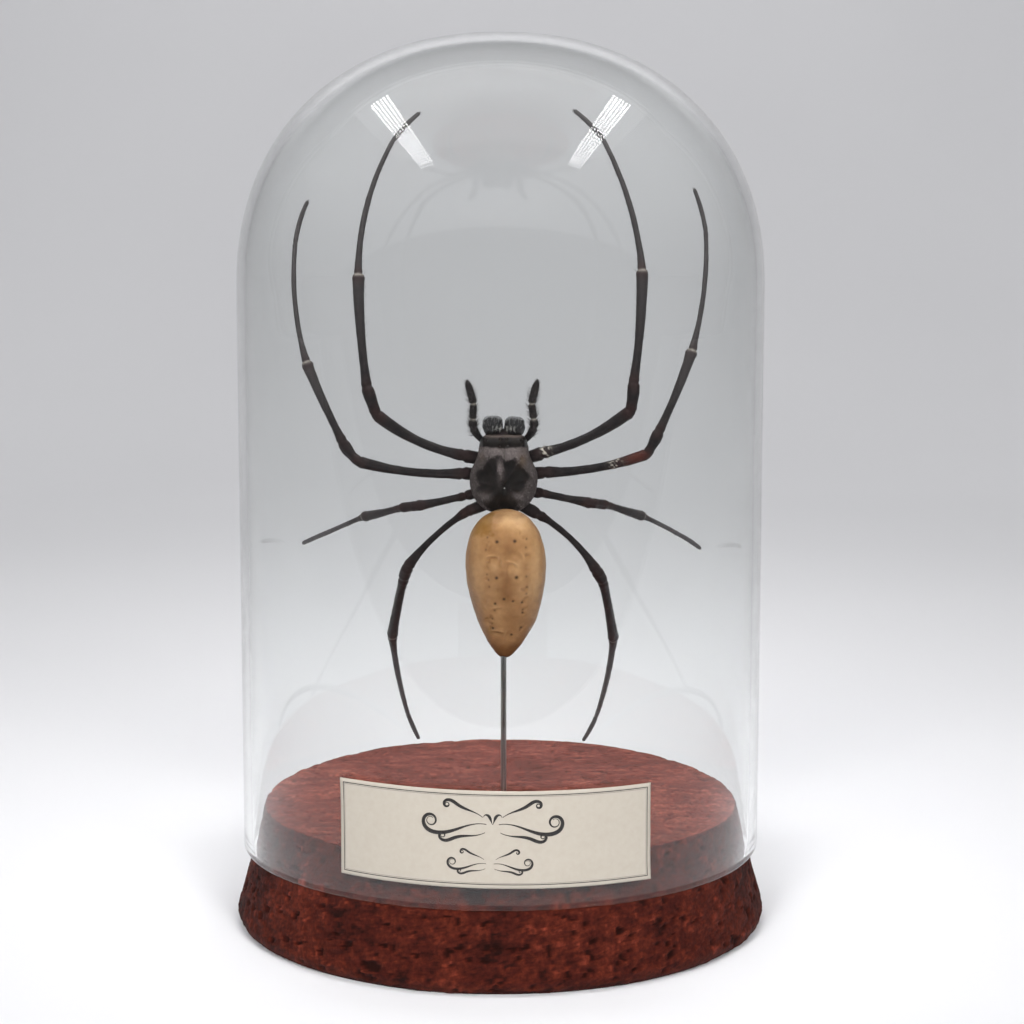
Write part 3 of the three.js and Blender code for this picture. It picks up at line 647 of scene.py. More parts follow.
across, up = np.meshgrid(np.linspace(0, LABEL_WIDTH, PAPER_COLUMNS),
                         np.linspace(0, LABEL["height"], PAPER_ROWS), indexing="ij")
level = paper_level(across, up) + 0.22 * mound(across, up, (LABEL_WIDTH, 0), (3, 2.5))
level += 0.16 * mound(across, up, (0, LABEL["height"]), (2.5, 3))
front, back = on_label(across, up, level + LABEL["thick"]), on_label(across, up, level)
face = sheet_faces(PAPER_COLUMNS, PAPER_ROWS)
last_column = (PAPER_COLUMNS - 1) * PAPER_ROWS
rim = np.concatenate([np.arange(PAPER_COLUMNS - 1) * PAPER_ROWS, last_column + np.arange(PAPER_ROWS - 1),
                      np.arange(PAPER_COLUMNS - 1, 0, -1) * PAPER_ROWS + PAPER_ROWS - 1,
                      np.arange(PAPER_ROWS - 1, 0, -1)])
next_rim = np.roll(rim, -1)
count = PAPER_COLUMNS * PAPER_ROWS
rim_faces = np.stack([next_rim, rim, rim + count, next_rim + count], -1)
sheet = np.concatenate([front.reshape(-1, 3), back.reshape(-1, 3)])
label = put_blocks("label_paper", [(sheet, [face, face[:, ::-1] + count, rim_faces])], paper_finish)
set_uv(label, "flat", np.concatenate([np.stack([across, up], -1).reshape(-1, 2)] * 2) / UV_UNIT)
dress(label, "label_paper", "label")

# %% [markdown]
# The flourishes are pen strokes. A stroke is walked from its start with a heading that changes as
# it goes: nearly straight, then curling ever tighter into a scroll. Its width swells in the middle,
# as a broad nib's does. Each flourish is the same strokes mirrored about the label's middle.

# %% Flourishes
ink_finish = mottled_finish("black_ink", 0.5, 4000, 3, (0.012, 0.011, 0.011), (0.03, 0.028, 0.027))
STROKES = [  # start, length, heading, sway, curl, width
    ((0.6, 0.0), 15.5, 12, -34, 560, 0.55),
    ((1.2, 0.9), 8.5, 40, -20, -620, 0.46),
    ((0.9, -1.0), 9.5, -30, 26, 640, 0.46),
    ((0.0, 0.0), 2.2, 62, 10, -160, 0.38),
]


def pen_stroke(start, length, heading, sway, curl, width, steps=70):
    """Walks the heading: heading + sway x sin(2 pi s) + curl x (last half of s) squared."""
    s = np.linspace(0, 1, steps)
    angle = np.radians(heading + sway * np.sin(2 * np.pi * s) + curl * ramp(s, 0.45, 0.55) ** 2)
    step = np.stack([np.cos(angle), np.sin(angle)], -1) * length / steps
    middle = np.array(start) + np.cumsum(step, 0)
    half = 0.5 * width * (0.16 + 0.84 * np.sin(np.pi * s) ** 2)
    side = np.stack([-np.sin(angle), np.cos(angle)], -1) * half[:, None]
    return np.stack([middle - side, middle + side], 1)


def flourish(name, middle, scale, strokes):
    """Each stroke and its mirror image, as thin raised strips on the paper."""
    blocks = []
    for stroke in strokes:
        edges = pen_stroke(*stroke)
        n = len(edges)
        k = np.arange(n - 1) * 2
        quad = np.stack([k, k + 2, k + 3, k + 1], -1)
        wall_a = np.stack([k, k + 2 * n, k + 2 + 2 * n, k + 2], -1)
        wall_b = np.stack([k + 1, k + 3, k + 3 + 2 * n, k + 1 + 2 * n], -1)
        ends = np.array([[0, 1, 2 * n + 1, 2 * n], [2 * n - 2, 4 * n - 2, 4 * n - 1, 2 * n - 1]])
        faces = [quad, quad[:, ::-1] + 2 * n, wall_a, wall_b, ends]
        for flip in (1, -1):
            across, up = (np.array(middle) + edges * scale * [flip, 1]).reshape(-1, 2).T
            level = paper_level(across, up) + LABEL["thick"]
            strip = np.concatenate([on_label(across, up, level + 0.025), on_label(across, up, level - 0.01)])
            blocks.append((strip, faces))
    dress(put_blocks(name, blocks, ink_finish), "label_paper")


flourish("label_flourish_upper", (LABEL_WIDTH / 2 - 0.3, 11.4), 1.32, STROKES)
flourish("label_flourish_lower", (LABEL_WIDTH / 2 - 0.8, 4.4), 0.8, STROKES[:3])

# %% [markdown]
# ## Following a limb
#
# A limb is walked from its root, length by length: each has a heading, a lean towards the
# underside and a bend, spread evenly over it. Rings are set square to the way through, and their
# radius comes from the listed radii. At each joint the shell narrows to a soft pale membrane
# between two hard collars, so the skin pinches there, and at some of the joints a mark tells the
# finish to turn pale.

# %% Limb helpers
LIMB_COLUMNS = 20
RINGS_PER_MM = 4.2
FAR = 9.0  # more than any joint's reach, for the two ends that have no joint


def limb_rings(limb, side_name):
    """Ring middles, radii, gap to the nearest joint and place in the limb. The tip ends in a half ball."""
    side = SIDES[side_name]
    at = np.array([SPIDER_X, 0, 0]) + np.array(limb["root"]) * [side, 1, 1]
    last = len(limb["lengths"]) - 1
    parts = []
    for k, length in enumerate(limb["lengths"]):
        lean = np.radians(limb["leans"][k])
        steps = max(int(length * RINGS_PER_MM), 8)
        share = np.arange(steps + 1) / steps
        bend = limb[side_name + "_bends"][k] * ((share[:-1] + share[1:]) / 2 - 0.5)
        heading = np.radians(limb[side_name][k] + bend)
        step = np.stack([side * np.cos(heading) * np.cos(lean), np.full(steps, np.sin(lean)),
                         np.sin(heading) * np.cos(lean)], -1) * length / steps
        walk = at + np.concatenate([np.zeros((1, 3)), np.cumsum(step, 0)])
        at = walk[-1]
        gap = np.minimum(share * length if k else FAR, (1 - share) * length if k < last else FAR)
        size = through(limb["radii"][k], share)
        parts.append([part[min(k, 1):] for part in (walk, size, gap, k + share)])
    middles, sizes, gaps, places = [np.concatenate(part) for part in zip(*parts)]
    tip, radius = middles[-1], sizes[-1]
    way = (tip - middles[-2]) / np.linalg.norm(tip - middles[-2])
    kept = np.linalg.norm(middles - tip, axis=1) > radius
    turn = np.radians([0, 20, 40, 58, 74, 86])
    cap = tip + (np.sin(turn) - 1)[:, None] * radius * way
    ends = (cap, radius * np.cos(turn), np.full(6, FAR), np.full(6, last + 1))
    return [np.concatenate([part[kept], end]) for part, end in zip((middles, sizes, gaps, places), ends)]


def tube(middles, sizes, near=(0, 1, 0)):
    """Rings of points: middle + radius x (cos a x across + sin a x third), across being nearest to near."""
    way = np.gradient(middles, axis=0)
    way /= np.linalg.norm(way, axis=1)[:, None]
    across = np.array(near) - way * (way @ near)[:, None]
    across /= np.linalg.norm(across, axis=1)[:, None]
    cosine, sine = circle(LIMB_COLUMNS).T[:, None, :, None]
    out = cosine * across[:, None] + sine * np.cross(across, way)[:, None]
    return middles[:, None] + out * sizes[:, None, None], out, way


# %% [markdown]
# ## The limb finish
#
# The dried shell is near black with a soft shine. It turns reddish brown where it is thin, by the
# ends of the lengths, and the membranes at the joints dried to a pale straw colour.

# %% Limb finish
limb_finish = start_finish("limb_shell", 0.4, Specular_IOR_Level=0.3)
limb_tone = mottled(limb_finish, 900, 5, (0.005, 0.0045, 0.005), (0.017, 0.014, 0.014))
# The grey mark is partly the grey of fine hairs and partly painted light: the bright background and the veil
# of the glass washing over the thin ends of the legs.
feed(limb_finish, tinted(limb_finish, limb_tone, grey=(0.06, 0.055, 0.056), ruddy=(0.06, 0.016, 0.011),
                         pale=(0.5, 0.46, 0.4)))
feed(limb_finish, mottled(limb_finish, 1500, 3, (0.3,) * 3, (0.55,) * 3), "Roughness")
ridged(limb_finish, noise(limb_finish, 5200, 4, 0.6), 0.35, 0.00006)
hair_finish = mottled_finish("dark_bristle", 0.45, 1500, 2, (0.02, 0.016, 0.015), (0.07, 0.06, 0.055))

# %% [markdown]
# ## Bristles
#
# Every limb carries bristles that point towards its tip. One bristle is three-sided, bent once and
# ends in a point, and thousands of them are made at once as arrays and joined into one mesh. Each
# one also gets a small patch on a UV map, at its root's place on an unwrap of the skin below it.

# %% Bristle helpers
PATCH_RADIUS = 0.0015
rng = np.random.default_rng(7)


def bristle_mesh(name, roots, ways, lengths, sag, thick, patches, finish, slot):
    """Each bristle: root + way x length x s + sag x length x s squared, at s = 0, a half and 1."""
    ways = ways / np.linalg.norm(ways, axis=1)[:, None]
    helper = np.where(np.abs(ways[:, 2:3]) < 0.9, [[0.0, 0.0, 1.0]], [[1.0, 0.0, 0.0]])
    a = np.cross(ways, helper)
    a /= np.linalg.norm(a, axis=1)[:, None]
    b = np.cross(ways, a)
    corners = circle(3)
    stations = []
    for s, share in ((0.0, 1.0), (0.5, 0.62)):
        middle = roots + ways * (lengths * s)[:, None] + sag * (lengths * s * s)[:, None]
        stations += [middle + (a * cosine + b * sine) * (thick * share)[:, None] for cosine, sine in corners]
    stations.append(roots + ways * lengths[:, None] + sag * lengths[:, None])
    base = (np.arange(len(roots)) * 7)[:, None]
    quads = np.concatenate([base + np.array([[k, (k + 1) % 3, (k + 1) % 3 + 3, k + 3]]) for k in range(3)])
    tris = [base + np.array([[k + 3, (k + 1) % 3 + 3, 6]]) for k in range(3)] + [base + np.array([[2, 1, 0]])]
    bristles = (np.stack(stations, 1).reshape(-1, 3), [quads, np.concatenate(tris)])
    piece = put_blocks(name, [bristles], finish)
    shape = np.concatenate([corners * PATCH_RADIUS, corners * PATCH_RADIUS / 2, [[0, 0]]])
    set_uv(piece, "OFBake", (patches[:, None] + shape[None]).reshape(-1, 2))
    dress(piece, slot)


def scatter(rings, out, way, places, span, count):
    """Random points on a limb's skin where its place in the limb lies in the span."""
    row = rng.choice(np.flatnonzero((places >= span[0]) & (places <= span[1])), count)
    column = rng.integers(0, rings.shape[1], count)
    return rings[row, column], out[row, column], way[row], row, column


def limb_patches(strip, places, row, column):
    """Place on an unwrap of all limbs: along the limb in U, and in V a strip of its own, round it."""
    return np.stack([0.01 + 0.16 * places[row], (strip + 0.1 + 0.8 * column / LIMB_COLUMNS) / 10], -1)


# %% [markdown]
# ## The legs
#
# The collars at a leg's joints stand proud of the pinch between them. The metatarsus and tarsus
# turn grey, partly from their fine hairs and partly as painted light, where the bright background
# and the veil of the glass wash over their thin ends. Two right legs carry a pale crust by a joint,
# and one has a reddish patch. Bristles are sparse and short but for the inner side of the first
# tibiae, and each tarsus ends in claws.

# %% Legs
CRUSTS = {(1, "right"): 1.03, (2, "right"): 1.69}
RUDDY_PATCHES = {(2, "right"): 1.89}
FIBRES = {(1, "right"): 36}
FIBRE_SPAN = (0.94, 1.12)
HAIR_SPANS = [  # places, count, shortest, longest
    ((0.2, 2.9), 260, 0.25, 0.6), ((3, 4), 260, 0.35, 0.95),
    ((4, 5), 300, 0.25, 0.6), ((5, 6), 240, 0.2, 0.45)]
# How grey each length is drawn, hip to tip: partly the grey of fine hairs, partly painted light over the thin
# ends.
GREY_AND_VEIL_BY_LENGTH = [0, 0, 0.03, 0.1, 0.5, 0.8, 0.7]
bristles = []


def build_leg(number, side_name):
    """One leg: rings, pinched and collared at the joints, marked for colour, and its bristles."""
    key = (number, side_name)
    middles, sizes, gap, place = limb_rings(LEG_PAIRS[number], side_name)
    sizes = sizes * (1 + 0.05 * bell(gap, 0.7, 0.32) - 0.13 * bell(gap, 0, 0.24))
    rings, out, way = tube(middles, sizes)
    seed = number * 10 + (side_name == "left")
    knobs = 0.03 + 0.05 * bell(gap, 0.6, 0.6) + 0.06 * bell(place, 0.8, 0.4)
    lumps = layered_noise(rings, 1.3, 2, seed) * knobs[:, None]
    crust = ramp(layered_noise(rings, 0.42, 2, seed + 5), 0.22, 0.2)
    crust = crust * bell(place, CRUSTS.get(key, -FAR), 0.05)[:, None]
    rings = rings + out * (lumps + 0.07 * crust)[..., None]
    pale = 0.3 * bell(gap, 0, 0.2) * (np.round(place) == 4)
    ruddy = 0.14 * bell(gap, 0.5, 1.3) * (place < 4.2) + 0.22 * bell(place, 0, 0.4)
    ruddy = ruddy * (0.8 + 0.4 * layered_noise(middles, 3, 2, seed))
    ruddy += 0.75 * bell(place, RUDDY_PATCHES.get(key, -FAR), 0.12)
    nodes = [f"leg{number}_{side_name}_{part}" for part in ("hip", "femur", "tibia", "foot")]
    # Greyer towards the tips: hair colour and painted light together.
    grey = through(GREY_AND_VEIL_BY_LENGTH, place / 6)
    skin(f"leg{number}_{side_name}", rings, limb_finish, "limb_shell", *nodes,
         pale=np.maximum(pale[:, None], crust), ruddy=ruddy[:, None], grey=grey[:, None])
    strip = number * 2 - 2 + (side_name == "left")
    for span, count, low, high in HAIR_SPANS:
        roots, normal_out, along_way, row, column = scatter(rings, out, way, place, span, count)
        ways = normal_out * rng.uniform(0.35, 0.9, (count, 1)) + along_way + rng.normal(0, 0.15, (count, 3))
        lengths = rng.uniform(low, high, count)
        inner = (number == 1) & (span[0] >= 3) & (normal_out[:, 0] * SIDES[side_name] < -0.5)
        bristles.append((roots - normal_out * 0.03, ways, np.where(inner, lengths * 1.9, lengths),
                         -normal_out * 0.25, rng.uniform(0.01, 0.02, count),
                         limb_patches(strip, place, row, column)))
    if key in FIBRES:
        count = FIBRES[key]
        roots, normal_out, _, row, column = scatter(rings, out, way, place, FIBRE_SPAN, count)
        ways = np.array([0, 0, 0.6]) + normal_out * 0.5 + rng.normal(0, 0.5, (count, 3))
        bristles.append((roots, ways, rng.uniform(0.6, 1.8, count), rng.normal(0, 0.4, (count, 3)),
                         np.full(count, 0.008), limb_patches(strip, place, row, column)))
    tip, tip_way = middles[[-3, -3]], way[[-3, -3]]
    bristles.append((tip, tip_way + np.cross(tip_way, [0, 1.0, 0]) * [[0.35], [-0.35]], np.full(2, 0.55),
                     np.array([[0, 0.5, 0]] * 2), np.full(2, 0.07),
                     limb_patches(strip, place, np.array([-1, -1]), np.array([0, 9]))))


for pair_number in LEG_PAIRS:
    for side_label in SIDES:
        build_leg(pair_number, side_label)

# %% [markdown]
# ## The palps
#
# The palps are short feelers beside the mouth, with four lengths here and longer, denser bristles.

# %% Palps
PALP_HAIRS = 900


def build_palp(side_name):
    """A palp is walked like a leg, pinched at its joints."""
    middles, sizes, gap, place = limb_rings(PALP, side_name)
    sizes = sizes * (1 + 0.1 * bell(gap, 0.5, 0.22) - 0.28 * bell(gap, 0, 0.18))
    rings, out, way = tube(middles, sizes)
    rings = rings + out * 0.03 * layered_noise(rings, 1.1, 2, 60)[..., None]
    pale = 0.4 * bell(gap, 0, 0.15) * (np.round(place) >= 2)
    skin(f"palp_skin_{side_name}", rings, limb_finish, "limb_shell", f"palp_{side_name}",
         pale=pale[:, None], ruddy=0, grey=0.1)
    roots, normal_out, along_way, row, column = scatter(rings, out, way, place, (0.6, 4), PALP_HAIRS)
    ways = normal_out + along_way * rng.uniform(0.3, 1.1, (PALP_HAIRS, 1))
    ways += rng.normal(0, 0.2, (PALP_HAIRS, 3))
    lengths = rng.uniform(0.4, 1.3, PALP_HAIRS) * np.where(place[row] > 3.6, 0.4, 1)
    bristles.append((roots - normal_out * 0.03, ways, lengths, along_way * 0.25,
                     rng.uniform(0.012, 0.024, PALP_HAIRS),
                     limb_patches(8 + (side_name == "left"), place, row, column)))


for side_label in SIDES:
    build_palp(side_label)
bristle_mesh("limb_bristles", *[np.concatenate(part) for part in zip(*bristles)], hair_finish, "limb_shell")

# %% [markdown]
# ## Plump pieces
#
# The body's pieces follow the stretched-sphere formula of the solids, on a finer grid. A relief
# moves their points in or out, and marks carry the pattern of the skin, and on the abdomen some
# painted highlight and painted shade too.

# %% Pod helpers
def pod_rings(shape, rows, columns, offset=(SPIDER_X, 0, 0)):
    """x = cos a x spread x width, y = sin a x spread x back or belly, for a ring at height t from -1 to 1.

    spread is (1 - |t|^p)^(1 / p), with p the shape's blunt at that end. A shape with a square has
    cos and sin raised to 2 / square.
    """
    t = -np.cos(np.linspace(0, np.pi, rows + 2)[1:-1])[:, None]
    a = np.linspace(0, 2 * np.pi, columns, endpoint=False)[None]
    share = (t + 1) / 2
    power = np.where(t < 0, *shape["blunt"])
    spread = (1 - np.abs(t) ** power) ** (1 / power)
    side = np.where(np.sin(a) < 0, through(shape["backs"], share), through(shape["bellies"], share))
    squared = 2 / shape.get("square", 2)
    across, deep = [np.sign(value) * np.abs(value) ** squared for value in (np.cos(a), np.sin(a))]
    x = across * spread * through(shape["widths"], share) + through(shape.get("middle_x", [0, 0]), share)
    y = deep * spread * side + through(shape["middle_y"], share)
    return np.stack([x, y, shape["low_z"] + share * shape["length"] + 0 * a], -1) + np.array(offset)


def ring_normals(rings):
    """Outward directions of a closed grid: the cross product of its two slopes."""
    around = np.roll(rings, -1, 1) - np.roll(rings, 1, 1)
    normal = np.cross(around, np.gradient(rings, axis=0))
    normal /= np.linalg.norm(normal, axis=-1)[..., None] + 1e-9
    middle = rings.mean(1)[:, None]
    return normal * np.sign(np.sum(normal * (rings - middle), -1).mean())


# %% [markdown]
# ## The abdomen
#
# The dried abdomen is an egg of thin tan skin over what is left inside. It has paired dark dots,
# where muscles were fixed, two broken lines of small dots, shallow folds left by drying, a clear
# cream patch at the front, an ochre stain on one shoulder and a brown tip. The folds are also
# painted lighter along their ridges and darker in the trough under each: painted highlight and
# painted shade. The cream patch is painted lighter still where the top of the abdomen faces the
# light, as a painted highlight. The back stands nearer to the eye than the middle, so the pattern,
# listed by its seen height, is raised to meet it.

# %% Abdomen marks, in mm from the spider's middle line and up from the base
DOTS = [  # x, z, size
    (-1.3, 73.0, 0.3), (2.15, 73.1, 0.31), (-1.38, 66.4, 0.3), (2.45, 66.5, 0.33),
    (0.05, 62.4, 0.26), (1.8, 62.0, 0.22), (-1.65, 61.5, 0.25), (3.55, 61.7, 0.22),
    (3.65, 59.7, 0.2), (-2.2, 58.5, 0.14), (-2.1, 56.6, 0.22), (3.4, 56.7, 0.22), (1.5, 55.4, 0.24)]
SMALL_DOTS = [  # x, z
    (-3.4, 71.5), (-3.2, 67.0), (-2.9, 66.0), (-2.75, 64.7), (4.35, 73.4), (4.2, 71.9), (4.3, 66.6),
    (4.45, 64.6), (4.3, 63.4), (3.7, 60.3), (-3.1, 73.7), (-1.7, 60.2), (-2.2, 57.6)]
FOLDS = [  # x, z, half length, tilt, height
    (-2.3, 70.5, 1.1, 8, 1.0), (1.7, 69.3, 1.2, -20, 0.9), (-1.5, 60.8, 1.0, 12, 0.7),
    (-1.2, 56.2, 1.3, -4, 0.7), (-3.0, 72.0, 0.7, 60, 0.5), (3.6, 70.6, 0.9, -65, 0.4),
    (-0.75, 69.3, 0.8, 84, -0.6), (0.6, 67.8, 0.9, 88, -0.4), (0.3, 55.6, 0.9, 60, 0.4)]
# The first spot is the cream patch, made lighter than its own cream as a painted highlight where the top of
# the abdomen faces the light. The others are lighter and darker parts of the skin's pattern.
PATTERN_AND_HIGHLIGHT_SPOTS = [  # lighter or darker by, x, z, reach across, reach along
    (0.3, 1.0, 76.6, 2.4, 1.9), (0.08, 3.6, 75.4, 1.8, 2.6), (-0.16, 0.6, 71.5, 2.3, 1.7),
    (-0.19, 0.5, 64.6, 1.7, 3.6), (-0.16, 1.0, 58.6, 2.4, 2.4), (-0.1, 4.6, 68, 1.0, 4),
    (0.1, -4.6, 68, 1.5, 6), (0.1, 6.0, 67, 1.2, 6), (0.12, -1.9, 68.6, 1.2, 1.4),
    (0.12, 2.4, 68.2, 1.1, 1.3)]
print(len(DOTS) + len(SMALL_DOTS), "dots,", len(FOLDS), "folds")

# %% Abdomen finish
abdomen_finish = start_finish("dried_abdomen_skin", 0.42, Specular_IOR_Level=0.4, Subsurface_Weight=0.15,
                              Subsurface_Scale=0.0015, Subsurface_Radius=(1.0, 0.45, 0.2))
skin_tone = colours(abdomen_finish, mark(abdomen_finish, "tone"), [
    (0.0, (0.07, 0.028, 0.01)), (0.3, (0.165, 0.078, 0.03)), (0.55, (0.28, 0.155, 0.07)),
    (0.8, (0.42, 0.26, 0.13)), (1.0, (0.6, 0.4, 0.2))])
mottle = mottled(abdomen_finish, 700, 6, (0.86, 0.83, 0.78), (1.08, 1.08, 1.08), 0.6)
skin_tone = blended(abdomen_finish, 1.0, skin_tone, mottle, "MULTIPLY")
feed(abdomen_finish, tinted(abdomen_finish, skin_tone, ochre=(0.16, 0.078, 0.017), dot=(0.022, 0.007, 0.003)))
ridged(abdomen_finish, noise(abdomen_finish, 1500, 6, 0.6), 0.25, 0.00015)

# %% Abdomen shape
rings = pod_rings(ABDOMEN, 250, 360)
x, y, z = np.moveaxis(rings, -1, 0)
x = x - SPIDER_X
z = z - (0.3 + 0.053 * (z - 56))
on_back, on_belly = ramp(-y, 1, 2), ramp(y, 1, 2)
dot, pit, fold = np.zeros((3, *x.shape))
for dot_x, dot_z, size in DOTS:
    spot = np.exp(-(((x - dot_x) / (size * 1.15)) ** 2 + ((z - dot_z) / size) ** 2) ** 1.5)
    dot = np.maximum(dot, spot)
    pit += mound(x, z, (dot_x, dot_z), (size * 2.2, size * 2.2))
for place in SMALL_DOTS:
    dot = np.maximum(dot, 0.7 * mound(x, z, place, (0.19, 0.2)))
for fold_x, fold_z, half, tilt, height in FOLDS:
    cosine, sine = np.cos(np.radians(tilt)), np.sin(np.radians(tilt))
    u = (x - fold_x) * cosine + (z - fold_z) * sine
    v = -(x - fold_x) * sine + (z - fold_z) * cosine + 0.14 * u**2
    fold += height * np.exp(-(u / half) ** 4) * (bell(v, 0, 0.2) - 0.8 * bell(v, -0.42, 0.3))
wrinkle = layered_noise(rings * [1, 1, 1.4], 1.3, 3, 70)
broad = layered_noise(rings, 5.5, 3, 75)
side_line = bell(np.abs(x - 0.5) + 0.6 * wrinkle + 0.005 * (z - 66) ** 2, 3.6, 0.3) * (z > 56) * (z < 75)
side_line = side_line * ramp(layered_noise(rings, 1.1, 2, 72), 0, 0.4)
furrow = bell(z - 0.06 * x**2, 73.2, 0.35) * on_belly * (np.abs(x) < 5)
relief = on_back * (0.11 * fold - 0.14 * pit - 0.12 * side_line)
relief += 0.04 * wrinkle + 0.08 * broad - 0.3 * furrow
tone = 0.53 + 0.1 * broad + 0.05 * wrinkle
# Spots of the skin's pattern, with the painted highlight on the cream patch among them.
for lighter, spot_x, spot_z, *reach in PATTERN_AND_HIGHLIGHT_SPOTS:
    tone += on_back * lighter * mound(x, z, (spot_x, spot_z), reach)
tone -= 0.42 * bell(z, 50.4, 3.6) + 0.12 * on_belly * bell(np.abs(x), 1.5, 1.6) + 0.4 * furrow
# Painted highlight along the ridges of the folds and painted shade in the trough under each, and darker
# broken side lines.
tone += on_back * (0.16 * fold - 0.25 * side_line * (0.5 + 0.5 * wrinkle))
stain_side = ramp(0.7 * wrinkle + 0.5 * broad - x, 1.1, 0.6)
stain_end = ramp(z - 0.12 * (x + 5) + 0.5 * wrinkle, 73.5, 0.6)
ochre = on_back * (0.88 + 0.25 * wrinkle) * stain_side * stain_end * ramp(x, -6.6, 1.5)
rings = rings + ring_normals(rings) * relief[..., None]
skin("abdomen_skin", rings, abdomen_finish, "abdomen_skin", "abdomen",
     tone=tone, ochre=ochre + 0.35 * bell(z, 51.0, 1.6), dot=dot * on_back)

# %% [markdown]
# ## The carapace
#
# One hard shield covers the back of the head and chest. The head part is raised and set off by a
# V-shaped groove, a pit marks the middle, and furrows run from it towards the legs. Grey down
# covers the head and the sides, and the middle is worn to the glossy black shell.

# %% Carapace finish
carapace_finish = start_finish("carapace_shell", 0.35, Specular_IOR_Level=0.25)
down_noise = noise(carapace_finish, 3200, 5, 0.7)
down_tone = colours(carapace_finish, down_noise, [(0.3, (0.04, 0.033, 0.031)), (0.7, (0.17, 0.143, 0.14))])
shell_tone = mottled(carapace_finish, 900, 4, (0.003, 0.0025, 0.0025), (0.009, 0.007, 0.006))
carapace_tone = blended(carapace_finish, mark(carapace_finish, "down"), shell_tone, down_tone)
feed(carapace_finish, tinted(carapace_finish, carapace_tone, ruddy=(0.08, 0.048, 0.022),
                             speck=(0.6, 0.58, 0.55)))
rough_stops = [(0.0, (0.3,) * 3), (0.5, (0.8,) * 3)]
feed(carapace_finish, colours(carapace_finish, mark(carapace_finish, "down"), rough_stops), "Roughness")
ridged(carapace_finish, down_noise, 0.5, 0.00012)

# %% Carapace shape
PIT_Z = 84.2
rings = pod_rings(CARAPACE, 190, 260)
carapace_out = ring_normals(rings)
x, z = rings[..., 0] - SPIDER_X, rings[..., 2]
wide, high = np.abs(x), z - PIT_Z
on_back = ramp(-rings[..., 1], -0.6, 0.8)
reach = np.hypot(x, high)
groove = bell(wide - 0.62 * high * (high > 0), 0, 0.45) * (high > 0) * ramp(-high, -7.5, 7.5)
furrows = np.zeros_like(x)
for heading in (8, -28, -62):
    away = high * np.cos(np.radians(heading)) - wide * np.sin(np.radians(heading))
    furrows += bell(away, 0, 0.4) * ramp(reach, 1.2, 1.5) * ramp(-reach, -6, 2)
pit = mound(x, z, (0, PIT_Z - 0.4), (0.55, 1.1))
eye_ridge = 0.28 * mound(wide, z, (3.5, 92.5), (0.7, 0.8)) + 0.22 * mound(x, z, (0, 92.9), (1.5, 1.0))
relief = (-0.3 * groove - 0.16 * furrows - 0.45 * pit + eye_ridge) * on_back
relief += 0.05 * layered_noise(rings, 2.2, 3, 80)
ragged = layered_noise(rings * [1.3, 1.3, 0.8], 1.5, 4, 85)
head = ramp(z - 0.2 * wide + 0.96 * ragged, 88.9, 0.8) * ramp(0.12 * ragged - z, -91.9, 0.3)
ragged = ragged + 0.45 * layered_noise(rings, 0.5, 3, 88)
tongue = (1.2 + 0.5 * ragged) * mound(x, z, (-0.7, 87.7), (0.6, 1.8))
sides = 0.42 * ramp(np.hypot((x + 0.4) / 0.95, (z - 84.4) / 1.2) + 0.91 * ragged, 4.4, 0.7) * (z < 91.7)
low_corners = mound(x, z, (-3.9, 82.2), (1.4, 0.9)) + mound(x, z, (3.2, 82.4), (1.5, 1.0))
worn = mound(x, z, (4.2, 86.15), (0.6, 0.75)) + mound(x, z, (2.7, 83.85), (0.55, 0.5))
worn += mound(x, z, (-4.7, 86.6), (0.5, 0.6))
streak = mound(x, z, (0.15, 90.4), (0.2, 1.8)) + mound(x, z, (-1.5, 88.0), (0.2, 0.9))
down = np.max([head, tongue, sides, 0.75 * low_corners], 0)
down = np.clip(down - 0.9 * worn - 0.6 * streak, 0, 1) * (0.25 + 0.75 * on_back)
front_rim = bell(z, 93.8, 0.16) * on_back * (wide < 4.4)
down = np.clip(np.maximum(down, front_rim), 0, 1)
ruddy = 0.5 * mound(x, z, (3.7, 89.6), (0.8, 1.3)) + 0.3 * mound(x, z, (-4.3, 90.2), (0.6, 1.1))
speck = 2 * mound(x, z, (0.17, 83.85), (0.08, 0.08)) * on_back
carapace_rings = rings + carapace_out * relief[..., None]
skin("carapace_skin", carapace_rings, carapace_finish, "carapace_shell", "carapace",
     down=down, ruddy=ruddy + 0.3 * front_rim, speck=speck)

# %% Down on the carapace
DOWN_HAIRS = 5200
down_finish = mottled_finish("grey_down", 0.7, 1800, 2, (0.07, 0.058, 0.054), (0.24, 0.205, 0.205))
weight = (down**1.5 * (on_back > 0.4) * (z < 93.2)).ravel()
chosen = rng.choice(len(weight), DOWN_HAIRS, p=weight / weight.sum())
out = carapace_out.reshape(-1, 3)[chosen]
roots = carapace_rings.reshape(-1, 3)[chosen] + rng.normal(0, 0.03, (DOWN_HAIRS, 3))
lie = np.stack([0.25 * np.sign(roots[:, 0] - SPIDER_X), np.zeros(DOWN_HAIRS), -np.ones(DOWN_HAIRS)], -1)
lie += rng.normal(0, 0.35, lie.shape)
rows, columns = x.shape
down_patches = np.stack([chosen % columns / columns, chosen // columns / rows], -1)
bristle_mesh("carapace_down", roots - out * 0.02, lie + out * 0.55, rng.uniform(0.2, 0.45, DOWN_HAIRS),
             -out * 0.3, rng.uniform(0.01, 0.017, DOWN_HAIRS), down_patches, down_finish, "carapace_shell")

# %% [markdown]
# ## The eyes
#
# Eight simple eyes sit in two rows by the front edge: four close to the middle and a pair on a low
# ridge at each side. Each is a glossy black lens, sunk almost to its middle in the shell.

